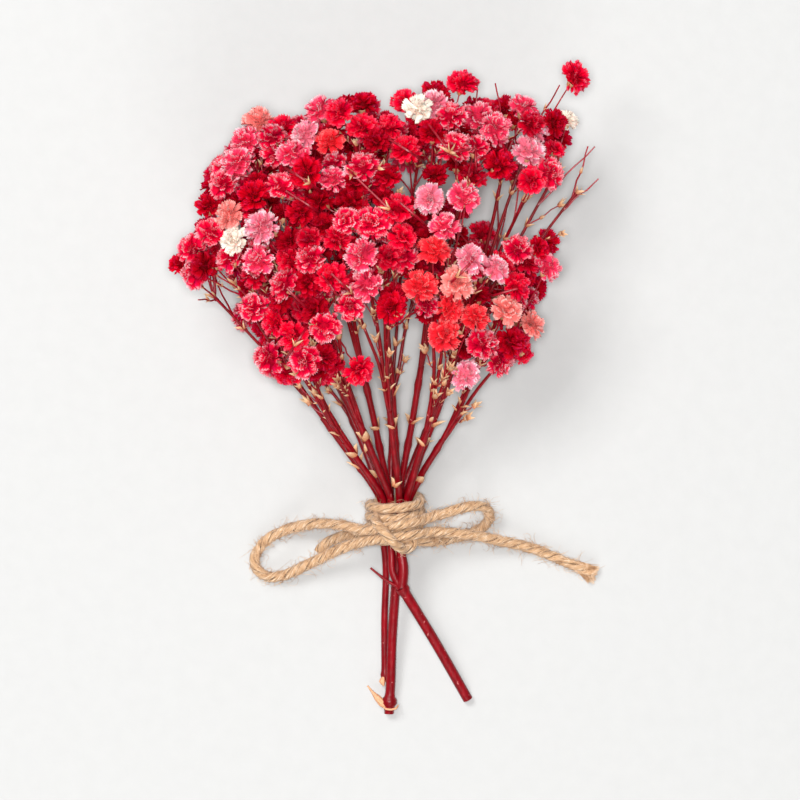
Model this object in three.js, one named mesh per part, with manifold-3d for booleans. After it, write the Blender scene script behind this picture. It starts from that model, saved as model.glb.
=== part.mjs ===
// A bunch of dyed, dried baby's breath, tied with jute twine and lying on its back on a flat surface.
//
// Fourteen cut stems pass through one tie. Above it each stem forks into branches, each branch ends in a
// pair of papery bracts, and from there thin stalks carry double blooms. Below the tie three stems run on:
// two nearly straight ones and one splayed leg. The rest are cut off inside the tie.
//
// Millimetres. +Y runs along the bunch towards the blooms, +Z up from the surface. The layout is worked out
// from the middle of the tie, and the last group moves it so that the origin is under the middle of the bunch.

import * as THREE from "three";
import { mergeVertices } from "three/addons/utils/BufferGeometryUtils.js";
import Module from "manifold-3d";

const wasm = await Module();
wasm.setup();

// ---- Driving dimensions ----

const ORIGIN = { x: -2.6, y: 37.5 }; // the middle of the bunch, seen from the middle of the tie
const TIE_HEIGHT = 9.8; // the middle of the tie over the surface
const LEAN = 0.2; // rise of the bunch's axis for each millimetre towards the blooms

const BLOOM_RADIUS = 4.5;
const PETALS = 5; // in each layer of a bloom
const STALK_RADIUS = 0.4;
const BRANCH_RADIUS = 0.6;
const BRANCH_STEPS = 2;
const STEM_RADIUS = 1.05;
const STEM_STEPS = 10;
const CLEARANCE = 0.4; // between pieces that don't grow from each other
const HUDDLE = -1.6; // blooms of one spray may press this far into each other
const PRESSED = 0.6; // depth of petal that the surface flattens

const DOME = { x: -5, y: 78, across: 62, along: 50, front: 32, back: 22 };
const BACK_BLOOMS = 44; // before the ones in open places are left out
const OPEN_REACH = 5; // a place further than this from every front bloom stays open
const BACK_SCALE = 0.86; // the hidden side keeps this far inside the dome's outline
const BACK_SHIFT = 4; // and lies this far up from its middle

const BLOOMS_ON_A_BRANCH = 3;
const STALK_LENGTH = 10; // from a branch's end to the middle of its blooms
const STALK_SINK = 0.02; // where stalks start, as a share of the branch back from its end
const STALK_STEP = 0.05; // and from each stalk to the next
const FREE_Y = 6.6; // where the stems leave the tie
const STEM_BEND = 1.6; // within this length they take up their lean
const FORK_SHARE = 0.44; // of the way from the tie to the branch ends
const FORK_KEEP = 0.6; // of a stem's place in the tie that is left at its fork
const FORK_SPREAD = 0.88; // of a stem's lean that it has there
const FORK_SINK = 1.5; // the first branch starts this far back from the stem's end
const FORK_STEP = 2.6; // and each next one this much further back
const BRACT = { length: 4, radius: 0.9, spread: 1.1 };
const STEM_BRACT_SHARE = 0.85; // where the bracts are on a stem
const BRANCH_BRACT_SHARE = 0.82; // and on a branch

const SETTLE_ROUNDS = 90;
const SIDE_GIVE = 0.45; // sideways share of a push
const OWN_REACH = 0.85; // share of a bloom's radius that it keeps off the stalks of its own spray

const TWINE_RADIUS = 1.5;
const TURNS = 4;
const TURN_PITCH = 3.05;
const TOP_TURN_Y = 6.3;
const TURN_RADIUS = 7.15; // to the middle of the twine
const CUT_Y = -4.4; // where the short stems are cut, inside the tie
const JOIN_Y = -6; // where the three long stems join their lower parts
const FOOT_RADIUS = 1.35; // of the thicker stems below the tie

// ---- Blooms that show from the front: places in plan, and a size where it isn't the usual one ----

const BUD = 0.24; // size of a bare stalk's tip
const SMALL = 0.75;
const FRONT_BLOOMS = [
  // upper left
  [-38, 111], [-40, 106], [-43, 102], [-47, 99], [-48, 94], [-51, 90, SMALL], [-49, 92, BUD], [-46, 86], [-34, 104],
  [-32, 110], [-25, 108], [-28, 103], [-32, 94], [-39, 91], [-20, 115], [-17, 108], [-24, 98], [-26, 87],
  // upper middle
  [-9, 117], [-10, 111], [-15, 113], [-8, 99], [-17, 95], [-13, 91], [-2, 110], [3, 104], [-3, 97],
  [7, 116], [10, 116.5], [15, 113], [11, 109], [24, 113], [27, 111], [19, 123], [16, 105], [22, 105],
  [19, 91], [10, 90], [23, 124.5, BUD], [28, 123.5, BUD],
  // upper right
  [50, 125], [36, 116], [39, 111], [37, 104], [48, 113, SMALL], [45, 105, SMALL], [29, 100], [38, 96], [43, 98],
  [46, 123, BUD], [54, 106, BUD], [57, 97, BUD], [56, 106, BUD],
  // left wing
  [-38, 82], [-43, 80], [-50, 82], [-55, 77], [-60, 73, SMALL], [-54, 73], [-30, 74], [-36, 74], [-46, 75],
  [-55, 63, BUD],
  // middle
  [-23, 75], [-17, 79], [-9, 75], [-13, 84], [-7, 84], [0, 88], [2, 80], [13, 83], [1, 74], [-24, 68],
  [-31, 67], [-17, 69], [-8, 67], [-14, 62], [-1, 61], [-38, 60], [-33, 58], [-27, 54], [-20, 56],
  // right
  [33, 76], [40, 77, SMALL], [42, 72], [29, 72], [21, 74], [11, 77], [32, 67], [9, 67], [20, 67], [15, 61],
  [14, 54], [23, 58], [30, 61], [38, 56], [36, 48, SMALL], [29, 46], [25, 51], [16, 43],
  // lower left
  [-32, 48], [-29, 43], [-22, 41], [-13, 44], [-25, 47],
];

// ---- Stems: name, lean sideways and towards the front for each millimetre of height, place in the tie, and
// what runs on below it ----

const STEMS = [
  { name: "spray_lower_left", lean: [-0.6, 0.38], slot: [-3.25, 2.4] },
  { name: "spray_left_wing", lean: [-0.68, 0.12], slot: [-4, 0] },
  { name: "spray_middle_left", lean: [-0.37, 0.38], slot: [-1.25, 3.8] },
  { name: "spray_middle", lean: [-0.08, 0.42], slot: [1.25, 3.8], lower: splayedLeg },
  { name: "spray_coral", lean: [0.3, 0.42], slot: [3.25, 2.4] },
  { name: "spray_right", lean: [0.52, 0.25], slot: [4, 0] },
  { name: "spray_upper_left", lean: [-0.44, 0.12], slot: [-1.2, 1.2] },
  { name: "spray_top_left", lean: [-0.22, 0.17], slot: [-1.2, -1.2] },
  { name: "spray_top_middle", lean: [-0.05, 0.22], slot: [1.2, 1.2], lower: straightLeg },
  { name: "spray_top_right", lean: [0.17, 0.17], slot: [1.2, -1.2] },
  { name: "spray_upper_right", lean: [0.37, 0.06], slot: [3.25, -2.4] },
  { name: "spray_back_left", lean: [-0.4, -0.2], slot: [-3.25, -2.4], lower: thinLeg },
  { name: "spray_back_middle", lean: [0.0, -0.24], slot: [-1.25, -3.8] },
  { name: "spray_back_right", lean: [0.36, -0.22], slot: [1.25, -3.8] },
];

// ---- A seeded draw, so that every build is the same ----

function seededDraw(seed) {
  let state = seed >>> 0;
  return (low = 0, high = 1) => {
    state = (state + 0x6d2b79f5) >>> 0;
    let t = state;
    t = Math.imul(t ^ (t >>> 15), t | 1);
    t ^= t + Math.imul(t ^ (t >>> 7), t | 61);
    return low + (high - low) * (((t ^ (t >>> 14)) >>> 0) / 4294967296);
  };
}

// ---- Solids ----

function solidOf(geometry) {
  const bare = geometry.clone();
  bare.deleteAttribute("normal");
  bare.deleteAttribute("uv");
  const merged = mergeVertices(bare, 1e-4);
  const corners = Array.from(merged.index.array);
  const kept = [];
  for (let i = 0; i < corners.length; i += 3) {
    const [a, b, c] = corners.slice(i, i + 3);
    if (a !== b && b !== c && c !== a) kept.push(a, b, c);
  }
  return new wasm.Manifold(
    new wasm.Mesh({
      numProp: 3,
      vertProperties: new Float32Array(merged.attributes.position.array),
      triVerts: new Uint32Array(kept),
    }),
  );
}

// Joins solids that grow from each other, and leaves out any loose scrap.
function fused(solids) {
  const bodies = solids.reduce((whole, next) => whole.add(next)).decompose();
  return bodies.reduce((largest, body) => (body.volume() > largest.volume() ? body : largest));
}

function geometryOf(solid) {
  const mesh = solid.getMesh();
  const geometry = new THREE.BufferGeometry();
  geometry.setAttribute("position", new THREE.BufferAttribute(new Float32Array(mesh.vertProperties), 3));
  geometry.setIndex(new THREE.BufferAttribute(new Uint32Array(mesh.triVerts), 1));
  geometry.computeVertexNormals();
  return geometry;
}

function polygon(sides, radius) {
  const points = [];
  for (let i = 0; i < sides; i++) {
    const turn = (2 * Math.PI * i) / sides;
    points.push(new THREE.Vector2(radius * Math.cos(turn), radius * Math.sin(turn)));
  }
  return new THREE.Shape(points);
}

// A round bar that follows a curve.
function tube(curve, radius, sides, steps) {
  return solidOf(new THREE.ExtrudeGeometry(polygon(sides, radius), { steps, extrudePath: curve, bevelEnabled: false }));
}

function throughPoints(points) {
  return new THREE.CatmullRomCurve3(points, false, "centripetal");
}

// A blade from one point to another, pointed at both ends.
function blade(from, to, radius) {
  const along = to.clone().sub(from);
  const length = along.length();
  const profile = [new THREE.Vector2(0, 0), new THREE.Vector2(radius, 0.5 * length), new THREE.Vector2(0, length)];
  return solidOf(pointed(new THREE.LatheGeometry(profile, 3), along).translate(from.x, from.y, from.z));
}

// Turns a geometry that stands on +Y to point along a direction.
function pointed(geometry, direction) {
  const up = new THREE.Vector3(0, 1, 0);
  const turn = new THREE.Quaternion().setFromUnitVectors(up, direction.clone().normalize());
  return geometry.applyQuaternion(turn);
}

// ---- Layout: where the blooms, stems and branches are ----

const axisHeight = (y) => TIE_HEIGHT + LEAN * y;
const place = (x, y, rise) => new THREE.Vector3(x, y, axisHeight(y) + rise);

// How far the dome of blooms stands out from the axis at a place in plan, as a share of its full depth.
function domeShare(x, y) {
  const out = Math.hypot((x - DOME.x) / DOME.across, (y - DOME.y) / DOME.along);
  return Math.max(0, 1 - out ** 3);
}

const SIZE_SPREAD = 0.1;
function placedBlooms() {
  const draw = seededDraw(11);
  const radius = (size) => BLOOM_RADIUS * size * draw(1 - SIZE_SPREAD, 1 + SIZE_SPREAD);
  const blooms = FRONT_BLOOMS.map(([x, y, size = 1]) => {
    const rise = DOME.front * domeShare(x, y) + draw(-3, 3);
    return { at: place(x, y, rise), radius: radius(size) };
  });
  const goldenTurn = Math.PI * (3 - Math.sqrt(5));
  for (let i = 0; i < BACK_BLOOMS; i++) {
    const out = BACK_SCALE * Math.sqrt((i + 0.5) / BACK_BLOOMS);
    const x = DOME.x + DOME.across * out * Math.cos(i * goldenTurn);
    const y = DOME.y + BACK_SHIFT + DOME.along * out * Math.sin(i * goldenTurn);
    const open = FRONT_BLOOMS.every(([fx, fy, size]) => size === BUD || Math.hypot(fx - x, fy - y) > OPEN_REACH);
    if (open) continue;
    const rise = -DOME.back * domeShare(x, y) + draw(-1, 3);
    blooms.push({ at: place(x, y, rise), radius: radius(1) });
  }
  return blooms;
}

function leanOf(point) {
  return new THREE.Vector2(point.x / point.y, (point.z - axisHeight(point.y)) / point.y);
}

// Each bloom belongs to the stem whose lean is nearest to its own.
function shareOut(blooms) {
  for (const bloom of blooms) {
    const lean = leanOf(bloom.at);
    const far = STEMS.map((stem) => Math.hypot(lean.x - stem.lean[0], lean.y - stem.lean[1]));
    bloom.stem = far.indexOf(Math.min(...far));
  }
}

// The blooms of a stem in threes, taken round the stem.
function groupsOf(blooms, stem) {
  const own = blooms.filter((bloom) => bloom.stem === stem);
  const middle = new THREE.Vector2();
  own.forEach((bloom) => middle.add(leanOf(bloom.at)));
  middle.divideScalar(own.length);
  own.forEach((bloom) => {
    bloom.turn = leanOf(bloom.at).sub(middle).angle();
  });
  own.sort((a, b) => a.turn - b.turn);
  const count = Math.max(1, Math.round(own.length / BLOOMS_ON_A_BRANCH));
  const groups = Array.from({ length: count }, () => []);
  own.forEach((bloom, i) => groups[Math.floor((i * count) / own.length)].push(bloom));
  return groups;
}

// A stem's own line runs through the tie and up to its fork, and from there a bent branch runs to each group.
function grownStem(blooms, index) {
  const stem = STEMS[index];
  const groups = groupsOf(blooms, index);
  const ends = groups.map((group) => {
    const middle = group.reduce((sum, b) => sum.add(b.at), new THREE.Vector3()).divideScalar(group.length);
    const foot = place(0, 0, 0);
    const reach = middle.distanceTo(foot);
    return foot.lerp(middle, (reach - STALK_LENGTH) / reach);
  });
  const meanHeight = ends.reduce((sum, end) => sum + end.y, 0) / ends.length;
  const forkY = meanHeight * FORK_SHARE;
  const [slotX, slotRise] = stem.slot;
  const [leanX, leanRise] = stem.lean;
  const freed = place(slotX, FREE_Y, slotRise);
  const fork = place(
    slotX * FORK_KEEP + leanX * FORK_SPREAD * forkY,
    forkY,
    slotRise * FORK_KEEP + leanRise * FORK_SPREAD * forkY,
  );
  const bent = place(slotX, FREE_Y + STEM_BEND, slotRise);
  const rising = new THREE.CubicBezierCurve3(freed, bent, bent.clone().lerp(fork, 0.5), fork);
  const line = [place(slotX, stem.lower ? JOIN_Y : CUT_Y, slotRise), ...rising.getPoints(5)];
  const bracts = [bract(rising, STEM_BRACT_SHARE, 1), bract(rising, STEM_BRACT_SHARE, -1)];
  const branches = groups.map((group, i) => {
    const share = 1 - (FORK_SINK + i * FORK_STEP) / fork.distanceTo(freed);
    const from = rising.getPoint(share);
    const bend = from.clone().addScaledVector(rising.getTangent(share), ends[i].distanceTo(from) * 0.4);
    const curve = new THREE.QuadraticBezierCurve3(from, bend, ends[i]);
    bracts.push(bract(curve, BRANCH_BRACT_SHARE, i % 2 ? 1 : -1));
    const stalks = group.map((bloom, k) => ({ from: curve.getPoint(1 - STALK_SINK - STALK_STEP * k), bloom }));
    return { curve, stalks };
  });
  return { ...stem, index, line, bracts, branches };
}

// A pointed bract stands off to the left (-1) or right (1) of a stem or branch, just below where it forks.
function bract(curve, share, side) {
  const from = curve.getPoint(share);
  const along = curve.getTangent(share);
  const out = new THREE.Vector3(0, 0, 1).cross(along).normalize().multiplyScalar(-side * BRACT.spread);
  return { from, to: from.clone().addScaledVector(out.add(along).normalize(), BRACT.length) };
}

function barsOf(stem) {
  const bars = [];
  const add = (points, radius) => {
    points.slice(1).forEach((to, i) => bars.push({ stem: stem.index, from: points[i], to, radius }));
  };
  add(stem.line, STEM_RADIUS);
  stem.branches.forEach((branch) => add(branch.curve.getPoints(BRANCH_STEPS), BRANCH_RADIUS));
  stem.bracts.forEach(({ from, to }) => add([from, to], BRACT.radius));
  return bars;
}

function nearestOn(bar, point) {
  return new THREE.Line3(bar.from, bar.to).closestPointToPoint(point, true, new THREE.Vector3());
}

// Blooms that crowd each other, or a stem or stalk, move apart, mostly towards the front or the back.
function settle(blooms, stems) {
  const fixed = stems.flatMap(barsOf);
  for (let round = 0; round < SETTLE_ROUNDS; round++) {
    const stalks = stems.flatMap((stem) =>
      stem.branches.flatMap((branch) =>
        branch.stalks.map(({ from, bloom }) => ({ stem: stem.index, from, to: bloom.at, radius: STALK_RADIUS })),
      ),
    );
    const bars = [...fixed, ...stalks];
    const pushes = blooms.map((bloom) => {
      const push = new THREE.Vector3();
      const keepOff = (point, need, share) => {
        const away = bloom.at.clone().sub(point);
        const far = away.length();
        if (far < need) push.addScaledVector(away, (share * (need - far)) / Math.max(far, 1e-6));
      };
      for (const other of blooms) {
        const gap = other.stem === bloom.stem ? HUDDLE : CLEARANCE;
        if (other !== bloom) keepOff(other.at, bloom.radius + other.radius + gap, 0.5);
      }
      for (const bar of bars) {
        const reach = bar.stem === bloom.stem ? OWN_REACH * bloom.radius : bloom.radius + CLEARANCE;
        if (bar.to !== bloom.at) keepOff(nearestOn(bar, bloom.at), bar.radius + reach, 0.7);
      }
      return push;
    });
    blooms.forEach((bloom, i) => {
      bloom.at.x += pushes[i].x * SIDE_GIVE;
      bloom.at.y += pushes[i].y * SIDE_GIVE;
      bloom.at.z = Math.max(bloom.radius - PRESSED, bloom.at.z + pushes[i].z);
    });
  }
}

// ---- Blooms, bracts and sprays ----

// A double bloom on its stalk, along +Y: two layers of petals round a crown, the upper ones between the lower
// ones. A ring's radius is `tip` on the even columns of the lathe and `notch` on the odd ones, and a ring with
// corners is gathered to that many points.
function bloomGeometry(radius, stalkLength) {
  const columns = 2 * PETALS;
  const rings = [
    { height: -stalkLength, tip: 0, notch: 0 },
    { height: -stalkLength, tip: STALK_RADIUS, notch: STALK_RADIUS, corners: 3 },
    { height: -0.8 * radius, tip: STALK_RADIUS, notch: STALK_RADIUS, corners: 3 },
    { height: -0.22 * radius, tip: radius, notch: 0.7 * radius },
    { height: 0.5 * radius, tip: 0.86 * radius, notch: 0.86 * radius, corners: PETALS },
    { height: 0.82 * radius, tip: 0, notch: 0 },
  ];
  const profile = rings.map((ring) => new THREE.Vector2(ring.tip, ring.height));
  const geometry = new THREE.LatheGeometry(profile, columns);
  const position = geometry.attributes.position;
  for (let i = 0; i < position.count; i++) {
    const column = Math.floor(i / rings.length) % columns;
    const ring = rings[i % rings.length];
    const out = column % 2 ? ring.notch : ring.tip;
    const share = ring.corners ? (Math.floor((column * ring.corners) / columns) + 0.5) / ring.corners : column / columns;
    const turn = 2 * Math.PI * share;
    position.setXYZ(i, out * Math.sin(turn), ring.height, out * Math.cos(turn));
  }
  return geometry;
}

function bloomSolid({ from, bloom }) {
  const facing = bloom.at.clone().sub(from);
  const geometry = bloomGeometry(bloom.radius, facing.length());
  return solidOf(pointed(geometry, facing).translate(...bloom.at.toArray()));
}

function spraySolid(stem) {
  const pieces = [tube(throughPoints(stem.line), STEM_RADIUS, 5, STEM_STEPS)];
  for (const branch of stem.branches) {
    pieces.push(tube(branch.curve, BRANCH_RADIUS, 4, BRANCH_STEPS), ...branch.stalks.map(bloomSolid));
  }
  pieces.push(...stem.bracts.map(({ from, to }) => blade(from, to, BRACT.radius)));
  if (stem.lower) pieces.push(...stem.lower());
  return aboveSurface(fused(pieces));
}

// What would reach below the surface is pressed flat on it.
function aboveSurface(solid) {
  return solid.trimByPlane([0, 0, 1], 0);
}

// ---- Below the tie ----

const at = (x, y, z) => new THREE.Vector3(x, y, z);

// A swelling where leaves grew, round a stem.
function swelling(middle, radius, along) {
  const geometry = new THREE.SphereGeometry(radius, 6, 3);
  return solidOf(pointed(geometry, along).translate(middle.x, middle.y, middle.z));
}

// Two stems grow from the collar of this one, and a bare twig. One goes on up, the other is cut in the tie.
function splayedLeg() {
  const collar = at(1.9, -17.8, 11.6);
  const foot = at(20.6, -49.6, 1.6);
  const right = [at(1.9, -18, 11.5), at(2.3, -12, 12.3), at(1.7, -8.5, 12.4), place(1.25, JOIN_Y + 0.8, 3.8)];
  const left = [at(1.6, -18, 11.5), at(-0.7, -13.4, 12), at(-1, -9, 12.2), place(-1.25, JOIN_Y + 0.4, 3.8)];
  const twig = [at(1, -17.8, 11.8), at(-3, -15.4, 12.4), at(-6.9, -12.3, 12.8)];
  return [
    tube(throughPoints([foot, collar]), FOOT_RADIUS, 6, 2),
    swelling(collar, 2.1, collar.clone().sub(foot)),
    tube(throughPoints(right), FOOT_RADIUS, 6, 4),
    tube(throughPoints(left), STEM_RADIUS, 6, 4),
    tube(throughPoints(twig), 0.45, 4, 2),
  ];
}

// The thick stem that runs straight down, with a swelling and a dry leaf stalk at its cut end.
function straightLeg() {
  const knuckle = at(-1.6, -50.4, 2.6);
  const end = at(-1.7, -53.6, 2.1);
  const line = [end, knuckle, at(-1.3, -46, 3.3), at(0.1, -18.8, 7.9), place(1.2, JOIN_Y + 0.8, 1.2)];
  return [
    tube(throughPoints(line), FOOT_RADIUS, 6, 8),
    swelling(knuckle, 2.4, at(0, 1, -0.1)),
    blade(at(-2.2, -51, 2.6), at(-7.6, -45.9, 2.6), 0.9),
  ];
}

function thinLeg() {
  const line = [at(-2.9, -44.6, 1.1), at(-2.8, -9, 5.7), place(-3.25, JOIN_Y + 0.8, -2.4)];
  return [
    tube(throughPoints(line), 0.95, 6, 5),
    blade(at(-2.9, -42.6, 1.3), at(-4.2, -46.2, 1), 0.8),
  ];
}

// ---- Twine ----

function twine(points, sides, steps) {
  return tube(throughPoints(points.map((point) => at(...point))), TWINE_RADIUS, sides, steps);
}

// Turns of twine side by side, as a ring with a lobe for each.
function turnsSolid() {
  const lobe = [-55, 0, 55].map((degrees) => (degrees * Math.PI) / 180);
  const profile = [];
  for (let turn = TURNS - 1; turn >= 0; turn--) {
    const height = TOP_TURN_Y - turn * TURN_PITCH;
    for (const angle of lobe) {
      const out = TURN_RADIUS + TWINE_RADIUS * Math.cos(angle);
      profile.push(new THREE.Vector2(out, height + TWINE_RADIUS * Math.sin(angle)));
    }
  }
  const inside = TURN_RADIUS - TWINE_RADIUS;
  profile.push(new THREE.Vector2(inside, profile.at(-1).y), new THREE.Vector2(inside, profile[0].y), profile[0].clone());
  const geometry = new THREE.LatheGeometry(profile, 16);
  return solidOf(pointed(geometry, at(0, 1, LEAN)).translate(0, 0, TIE_HEIGHT));
}

// The knot lies on the turns: two strands cross to the loops and the tail, and one is drawn down over them.
const KNOT_STRANDS = [
  [[-8.7, -1.7, 15.9], [-5, -1.2, 18.2], [0, -0.3, 19.7], [5, 0.7, 18.3], [8.7, 1.7, 15.5]],
  [[-8.7, -4.8, 14.3], [-5, -4.2, 16.7], [0, -3.6, 18.6], [5, -2.9, 17.3], [8.7, -2.3, 14.6]],
  [[8.8, -4.8, 11.2], [6.4, -4.5, 13.2], [3, -4.2, 15.4], [0, -3.6, 16.6]],
  [[-5.4, 2.2, 15.6], [-5.3, 0.6, 19.4], [-2.6, -2.6, 21.6], [0.6, -5.9, 19.6], [2.8, -6.9, 16.6],
    [4.9, -5.6, 15.2], [5.4, -3.2, 14.8]],
];
// The short cut end comes out behind the left loop and lies down under it.
const SHORT_END = [[-5.6, -2.4, 13], [-8.8, -2.5, 10.2], [-13, -3, 7.4], [-17.2, -4.3, 4.2], [-20.4, -6.3, 2],
  [-21.6, -8, 1.6]];

function tieSolid() {
  const strands = [...KNOT_STRANDS, SHORT_END].map((points) => twine(points, 6, points.length));
  return fused([turnsSolid(), ...strands]);
}

const LOOP_LEFT = [
  [-9.3, -1.7, 15.5], [-12.3, -0.8, 13.8], [-17.4, 0, 10.6], [-22.4, 0.1, 7.4], [-27.4, -0.7, 4.4],
  [-32.6, -2.4, 2.3], [-36.4, -4.6, 1.7], [-38.9, -7.7, 1.6], [-39.8, -10.4, 1.6], [-38.9, -12.9, 1.6],
  [-36.4, -14.8, 1.8], [-32.6, -14.8, 2.6], [-29.2, -13.7, 3.9], [-25.8, -12, 5.2], [-22.4, -10.4, 6.6],
  [-18.5, -8.4, 8.4], [-14, -6.4, 11], [-9.5, -5, 13.7],
];
const LOOP_RIGHT = [
  [9.4, 1.9, 15.1], [11.5, 2.5, 14.4], [15.4, 3.6, 13.3], [19.9, 4.8, 11.8], [23.4, 5.2, 10], [26, 4.2, 7.6],
  [26.6, 1.6, 4.8], [24.4, -1.2, 2.9], [20.7, -2.9, 2.5], [16.8, -3.8, 4], [13, -4.5, 6.8], [9.6, -4.9, 10.3],
];
const TAIL = [
  [9.35, -2.2, 14.1], [13.2, -2.2, 12.6], [19.9, -2.9, 10], [24.2, -3.5, 8], [29.7, -4.8, 5.2],
  [35.4, -6, 3.1], [39.9, -7.3, 2], [44.2, -9, 1.6], [48.7, -10.9, 1.6], [52.4, -12.4, 1.6], [55.6, -14.1, 1.6],
];

// ---- Assembly ----

const blooms = placedBlooms();
shareOut(blooms);
const stems = STEMS.map((_, index) => grownStem(blooms, index));
settle(blooms, stems);

const DYED = new THREE.MeshStandardMaterial({ color: 0xc4213c, roughness: 0.8, metalness: 0 });
const JUTE = new THREE.MeshStandardMaterial({ color: 0xc9a574, roughness: 0.9, metalness: 0 });

const bunch = new THREE.Group();
bunch.position.set(-ORIGIN.x, -ORIGIN.y, 0);
function addNode(name, solid, material) {
  const mesh = new THREE.Mesh(geometryOf(solid), material);
  mesh.name = name;
  bunch.add(mesh);
}
for (const stem of stems) addNode(stem.name, spraySolid(stem), DYED);
addNode("twine_tie", tieSolid(), JUTE);
addNode("twine_loop_left", twine(LOOP_LEFT, 8, 20), JUTE);
addNode("twine_loop_right", twine(LOOP_RIGHT, 8, 16), JUTE);
addNode("twine_tail", twine(TAIL, 8, 12), JUTE);

const part = new THREE.Group();
part.add(bunch);

export default part;
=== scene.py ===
"""A bunch of dyed, dried baby's breath, tied with jute twine and lying on its back on a pale floor.

The bunch has fourteen sprays. Each is made of three pieces: its stems, its papery bracts and its blooms.
They stand for the spray's solid, and the layout below is the one that the solids were made by. Places in the
layout are in millimetres from the middle of the tie, with +Y along the bunch and +Z up from the floor.
"""

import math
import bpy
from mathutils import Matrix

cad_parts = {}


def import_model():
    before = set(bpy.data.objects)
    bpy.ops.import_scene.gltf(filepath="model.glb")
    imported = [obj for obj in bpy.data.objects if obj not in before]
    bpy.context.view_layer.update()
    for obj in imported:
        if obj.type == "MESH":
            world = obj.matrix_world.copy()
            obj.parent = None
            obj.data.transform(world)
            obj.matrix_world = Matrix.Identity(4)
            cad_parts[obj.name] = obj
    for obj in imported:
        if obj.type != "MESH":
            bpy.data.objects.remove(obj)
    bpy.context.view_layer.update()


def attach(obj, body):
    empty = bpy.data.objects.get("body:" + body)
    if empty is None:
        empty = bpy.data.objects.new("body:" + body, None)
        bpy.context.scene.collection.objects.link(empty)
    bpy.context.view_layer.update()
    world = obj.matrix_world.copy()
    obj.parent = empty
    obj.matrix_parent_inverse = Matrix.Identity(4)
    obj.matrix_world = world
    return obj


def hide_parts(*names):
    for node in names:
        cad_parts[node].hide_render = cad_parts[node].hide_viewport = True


bl_info = {
    "name": "Bunch of dried baby's breath",
    "version": (1, 0, 0),
    "blender": (4, 5, 0),
    "location": "3D View > Sidebar > Bunch",
    "description": "Dresses a bunch of dried baby's breath with petals, stems, bracts and jute twine",
    "category": "Object",
}

import bpy
import numpy as np
from bpy.props import FloatProperty, FloatVectorProperty, IntProperty, PointerProperty
from mathutils import Matrix, Vector

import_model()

MM = 0.001
BODY = "root"
ORIGIN = np.array([-2.6, 37.5, 0])  # the frame's origin, seen from the middle of the tie


def world(points):
    """Places in the layout, in metres in the frame."""
    return (np.asarray(points, float) - ORIGIN) * MM


# ---- Layout of the bunch ----

TIE_HEIGHT = 9.8
LEAN = 0.2
BLOOM_RADIUS = 4.5
STALK_RADIUS = 0.4
BRANCH_RADIUS = 0.6
BRANCH_STEPS = 2
STEM_STEPS = 5
STEM_RADIUS = 1.05
CLEARANCE = 0.4
HUDDLE = -1.6
PRESSED = 0.6
DOME_MIDDLE = (-5, 78)
DOME_ACROSS = 62
DOME_ALONG = 50
DOME_FRONT = 32
DOME_BACK = 22
BACK_BLOOMS = 44
OPEN_REACH = 5
BACK_SCALE = 0.86
BACK_SHIFT = 4
BLOOMS_ON_A_BRANCH = 3
STALK_LENGTH = 10
STALK_SINK = 0.02
STALK_STEP = 0.05
FREE_Y = 6.6
STEM_BEND = 1.6
FORK_SHARE = 0.44
FORK_KEEP = 0.6
FORK_SPREAD = 0.88
FORK_SINK = 1.5
FORK_STEP = 2.6
BRACT_LENGTH = 4
BRACT_RADIUS = 0.9
BRACT_SPREAD = 1.1
STEM_BRACT_SHARE = 0.85
BRANCH_BRACT_SHARE = 0.82
SETTLE_ROUNDS = 90
SIDE_GIVE = 0.45
OWN_REACH = 0.85
SIZE_SPREAD = 0.1
CUT_Y = -4.4
JOIN_Y = -6
FRONT_JITTER = 3
BACK_JITTER = (-1, 3)
BRANCH_BOW = 0.4
BLOOM_PUSH = 0.5
BAR_PUSH = 0.7
FLUFFED = 1.1
CROSSING_LIFT = 0.4
CROSSING_BACK = 4
CROSSING_DROP = 7
CROSSING_ARCH = 0.6
CROSSING_DIP = 1.5
BUD = 0.24
SMALL = 0.75

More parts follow.
